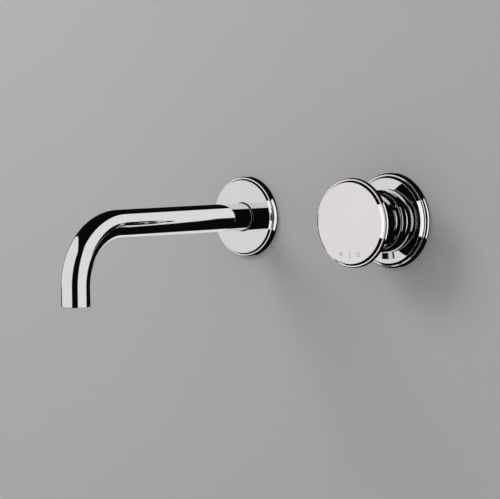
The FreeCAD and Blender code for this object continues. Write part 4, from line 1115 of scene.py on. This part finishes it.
class MIXER_OT_studio(bpy.types.Operator):
    """Set up the wall, the floor, the soft light and the camera"""

    bl_idname = "mixer.studio"
    bl_label = "Studio"

    def execute(self, context):
        self.board("wall", 3.0, (0, 0, 0.5), (math.pi / 2, 0, 0))
        self.board("floor", 8.0, (0, 0, -1.0))
        self.light(context)
        self.camera(context)
        return {"FINISHED"}

    def board(self, name, size, place, turn=(0, 0, 0)):
        """Plain pale square for the wall or the floor."""
        deselect_all()
        bpy.ops.mesh.primitive_plane_add(size=size, location=place, rotation=turn)
        board = bpy.context.object
        board.name = name
        board.visible_glossy = False
        board.data.materials.append(one_sided(name + "_paint"))

    def light(self, context):
        """Soft boxes all round for the reflections and an even soft light for everything else."""
        world = bpy.data.worlds.new("studio")
        context.scene.world = world
        world.use_nodes = True
        tree = world.node_tree
        tree.nodes.clear()
        even = node(tree, "ShaderNodeBackground", Strength=ROOM_LIGHT).outputs[0]
        dark = node(tree, "ShaderNodeBackground", Strength=ROOM_MIRRORED).outputs[0]
        seen = node(tree, "ShaderNodeBackground", Color=BACKDROP).outputs[0]
        path = tree.nodes.new("ShaderNodeLightPath").outputs
        room = either(tree, path["Is Glossy Ray"], even, dark)
        node(tree, "ShaderNodeOutputWorld", Surface=either(tree, path["Is Camera Ray"], room, seen))
        works = self.hide_from_mirrors()
        for *box, pieces in SOFTBOXES:
            self.soft_box(context, *box, works if pieces is WORKS else pieces)
        stand = self.lamp(context, "soft_lamp", "DISK", 0.7)
        stand.data.energy = 9.0
        stand.visible_glossy = False
        stand.location = LAMP_PLACE
        stand.rotation_euler = (-stand.location).to_track_quat("-Z", "Y").to_euler()

    def lamp(self, context, name, shape, size):
        """New area lamp; returns the object that carries it."""
        lamp = bpy.data.lights.new(name, "AREA")
        lamp.shape = shape
        lamp.size = size
        stand = bpy.data.objects.new(name, lamp)
        context.scene.collection.objects.link(stand)
        return stand

    def hide_from_mirrors(self):
        """Keep what is inside the wall out of the chrome's reflections; returns the names of those pieces."""
        names = [name for name in frame["nodes"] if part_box(name)[0].y > 0.0] + list(WORKS)
        for name in names:
            bpy.data.objects[name].visible_glossy = False
        return names

    def soft_box(self, context, name, azimuth, left, right, low, high, strength, pieces):
        """Large even panel, seen only in the reflections."""
        stand = self.lamp(context, name, "RECTANGLE", (right - left) * BOX_DISTANCE)
        stand.data.size_y = (high - low) * BOX_DISTANCE
        stand.data.energy = strength * math.pi * stand.data.size * stand.data.size_y
        turn = math.radians(azimuth)
        ahead = Vector((math.cos(turn), math.sin(turn), 0))
        aside = Vector((-math.sin(turn), math.cos(turn), 0))
        middle = ahead + aside * (left + right) / 2 + Vector((0, 0, (low + high) / 2))
        stand.location = middle * BOX_DISTANCE
        stand.rotation_euler = ahead.to_track_quat("Z", "Y").to_euler()
        stand.visible_camera = False
        stand.visible_diffuse = False
        lit = bpy.data.collections.new("lit_by_" + name)
        for piece in pieces or SPOUT + NECK:
            lit.objects.link(bpy.data.objects[piece])
        if pieces is None:
            for member in lit.collection_objects:
                member.light_linking.link_state = "EXCLUDE"
        stand.light_linking.receiver_collection = lit

    def camera(self, context):
        """Camera at the photograph's angle, with the photograph's slight roll."""
        turn, rise, roll = (math.radians(angle) for angle in CAMERA_ANGLES)
        right = Vector((math.cos(turn), math.sin(turn), 0))
        back = Vector((math.sin(turn) * math.cos(rise), -math.cos(turn) * math.cos(rise), math.sin(rise)))
        up = back.cross(right)
        across = right * math.cos(roll) + up * math.sin(roll)
        upright = up * math.cos(roll) - right * math.sin(roll)
        shift = Matrix((right, up, back)).transposed() @ Vector(CAMERA_SHIFT)
        lens = bpy.data.cameras.new("camera")
        lens.sensor_width = SENSOR_WIDTH
        lens.lens = FOCAL_LENGTH * SENSOR_WIDTH
        camera = bpy.data.objects.new("camera", lens)
        context.scene.collection.objects.link(camera)
        turned_to = Matrix((across, upright, back)).transposed().to_4x4()
        camera.matrix_world = Matrix.Translation(Vector(CAMERA_AIM) + shift) @ turned_to
        context.scene.camera = camera
        context.scene.view_settings.view_transform = "Standard"


def one_sided(name):
    """Let the camera look through the back of this finish, to the hidden pieces."""
    finish = finish_of(name)
    tree = finish.node_tree
    behind = tree.nodes.new("ShaderNodeNewGeometry").outputs["Backfacing"]
    clear = tree.nodes.new("ShaderNodeBsdfTransparent").outputs[0]
    surface = either(tree, behind, tree.nodes["Principled BSDF"].outputs[0], clear)
    wire(tree, tree.nodes["Material Output"], Surface=surface)
    return finish


class MIXER_PT_panel(bpy.types.Panel):
    """Sidebar panel that lists the steps"""

    bl_idname = "MIXER_PT_panel"
    bl_label = "Basin Mixer"
    bl_space_type = "VIEW_3D"
    bl_region_type = "UI"
    bl_category = "Basin Mixer"

    def draw(self, context):
        for step in STEPS:
            self.layout.operator(step.bl_idname)


STEPS = (
    MIXER_OT_finishes,
    MIXER_OT_spout,
    MIXER_OT_rosettes,
    MIXER_OT_sleeve,
    MIXER_OT_dome,
    MIXER_OT_hub,
    MIXER_OT_disc,
    MIXER_OT_marks,
    MIXER_OT_aerator,
    MIXER_OT_valve_body,
    MIXER_OT_elbow,
    MIXER_OT_link,
    MIXER_OT_plate,
    MIXER_OT_studio,
)
GROUPS = (
    ("mixer_spout", MIXER_PG_spout),
    ("mixer_spout_rim", MIXER_PG_rim),
    ("mixer_knob_rim", MIXER_PG_rim),
    ("mixer_neck", MIXER_PG_neck),
    ("mixer_knob", MIXER_PG_knob),
    ("mixer_works", MIXER_PG_works),
    ("mixer_finish", MIXER_PG_finish),
)
KNOB_RIM = {
    "radius": 0.037, "face": 0.033, "bevel_width": 0.0017, "bevel_depth": 0.0022, "bore": 0.02422,
    "boss": 0.02802, "crown": 0.00042,
}


def register():
    for kind in dict.fromkeys(kind for _, kind in GROUPS):
        bpy.utils.register_class(kind)
    for name, kind in GROUPS:
        setattr(bpy.types.Scene, name, PointerProperty(type=kind))
    for step in STEPS + (MIXER_PT_panel,):
        bpy.utils.register_class(step)


def unregister():
    for step in reversed(STEPS + (MIXER_PT_panel,)):
        bpy.utils.unregister_class(step)
    for name, _ in GROUPS:
        delattr(bpy.types.Scene, name)
    for kind in dict.fromkeys(kind for _, kind in GROUPS):
        bpy.utils.unregister_class(kind)


def main():
    register()
    scene = bpy.context.scene
    for name, value in KNOB_RIM.items():
        setattr(scene.mixer_knob_rim, name, value)
    bpy.ops.mixer.finishes()
    bpy.ops.mixer.spout()
    bpy.ops.mixer.rosettes()
    bpy.ops.mixer.sleeve()
    bpy.ops.mixer.dome()
    bpy.ops.mixer.hub()
    bpy.ops.mixer.disc()
    bpy.ops.mixer.marks()
    bpy.ops.mixer.aerator()
    bpy.ops.mixer.valve_body()
    bpy.ops.mixer.elbow()
    bpy.ops.mixer.link()
    bpy.ops.mixer.plate()
    bpy.ops.mixer.studio()


if __name__ == "__main__":
    main()
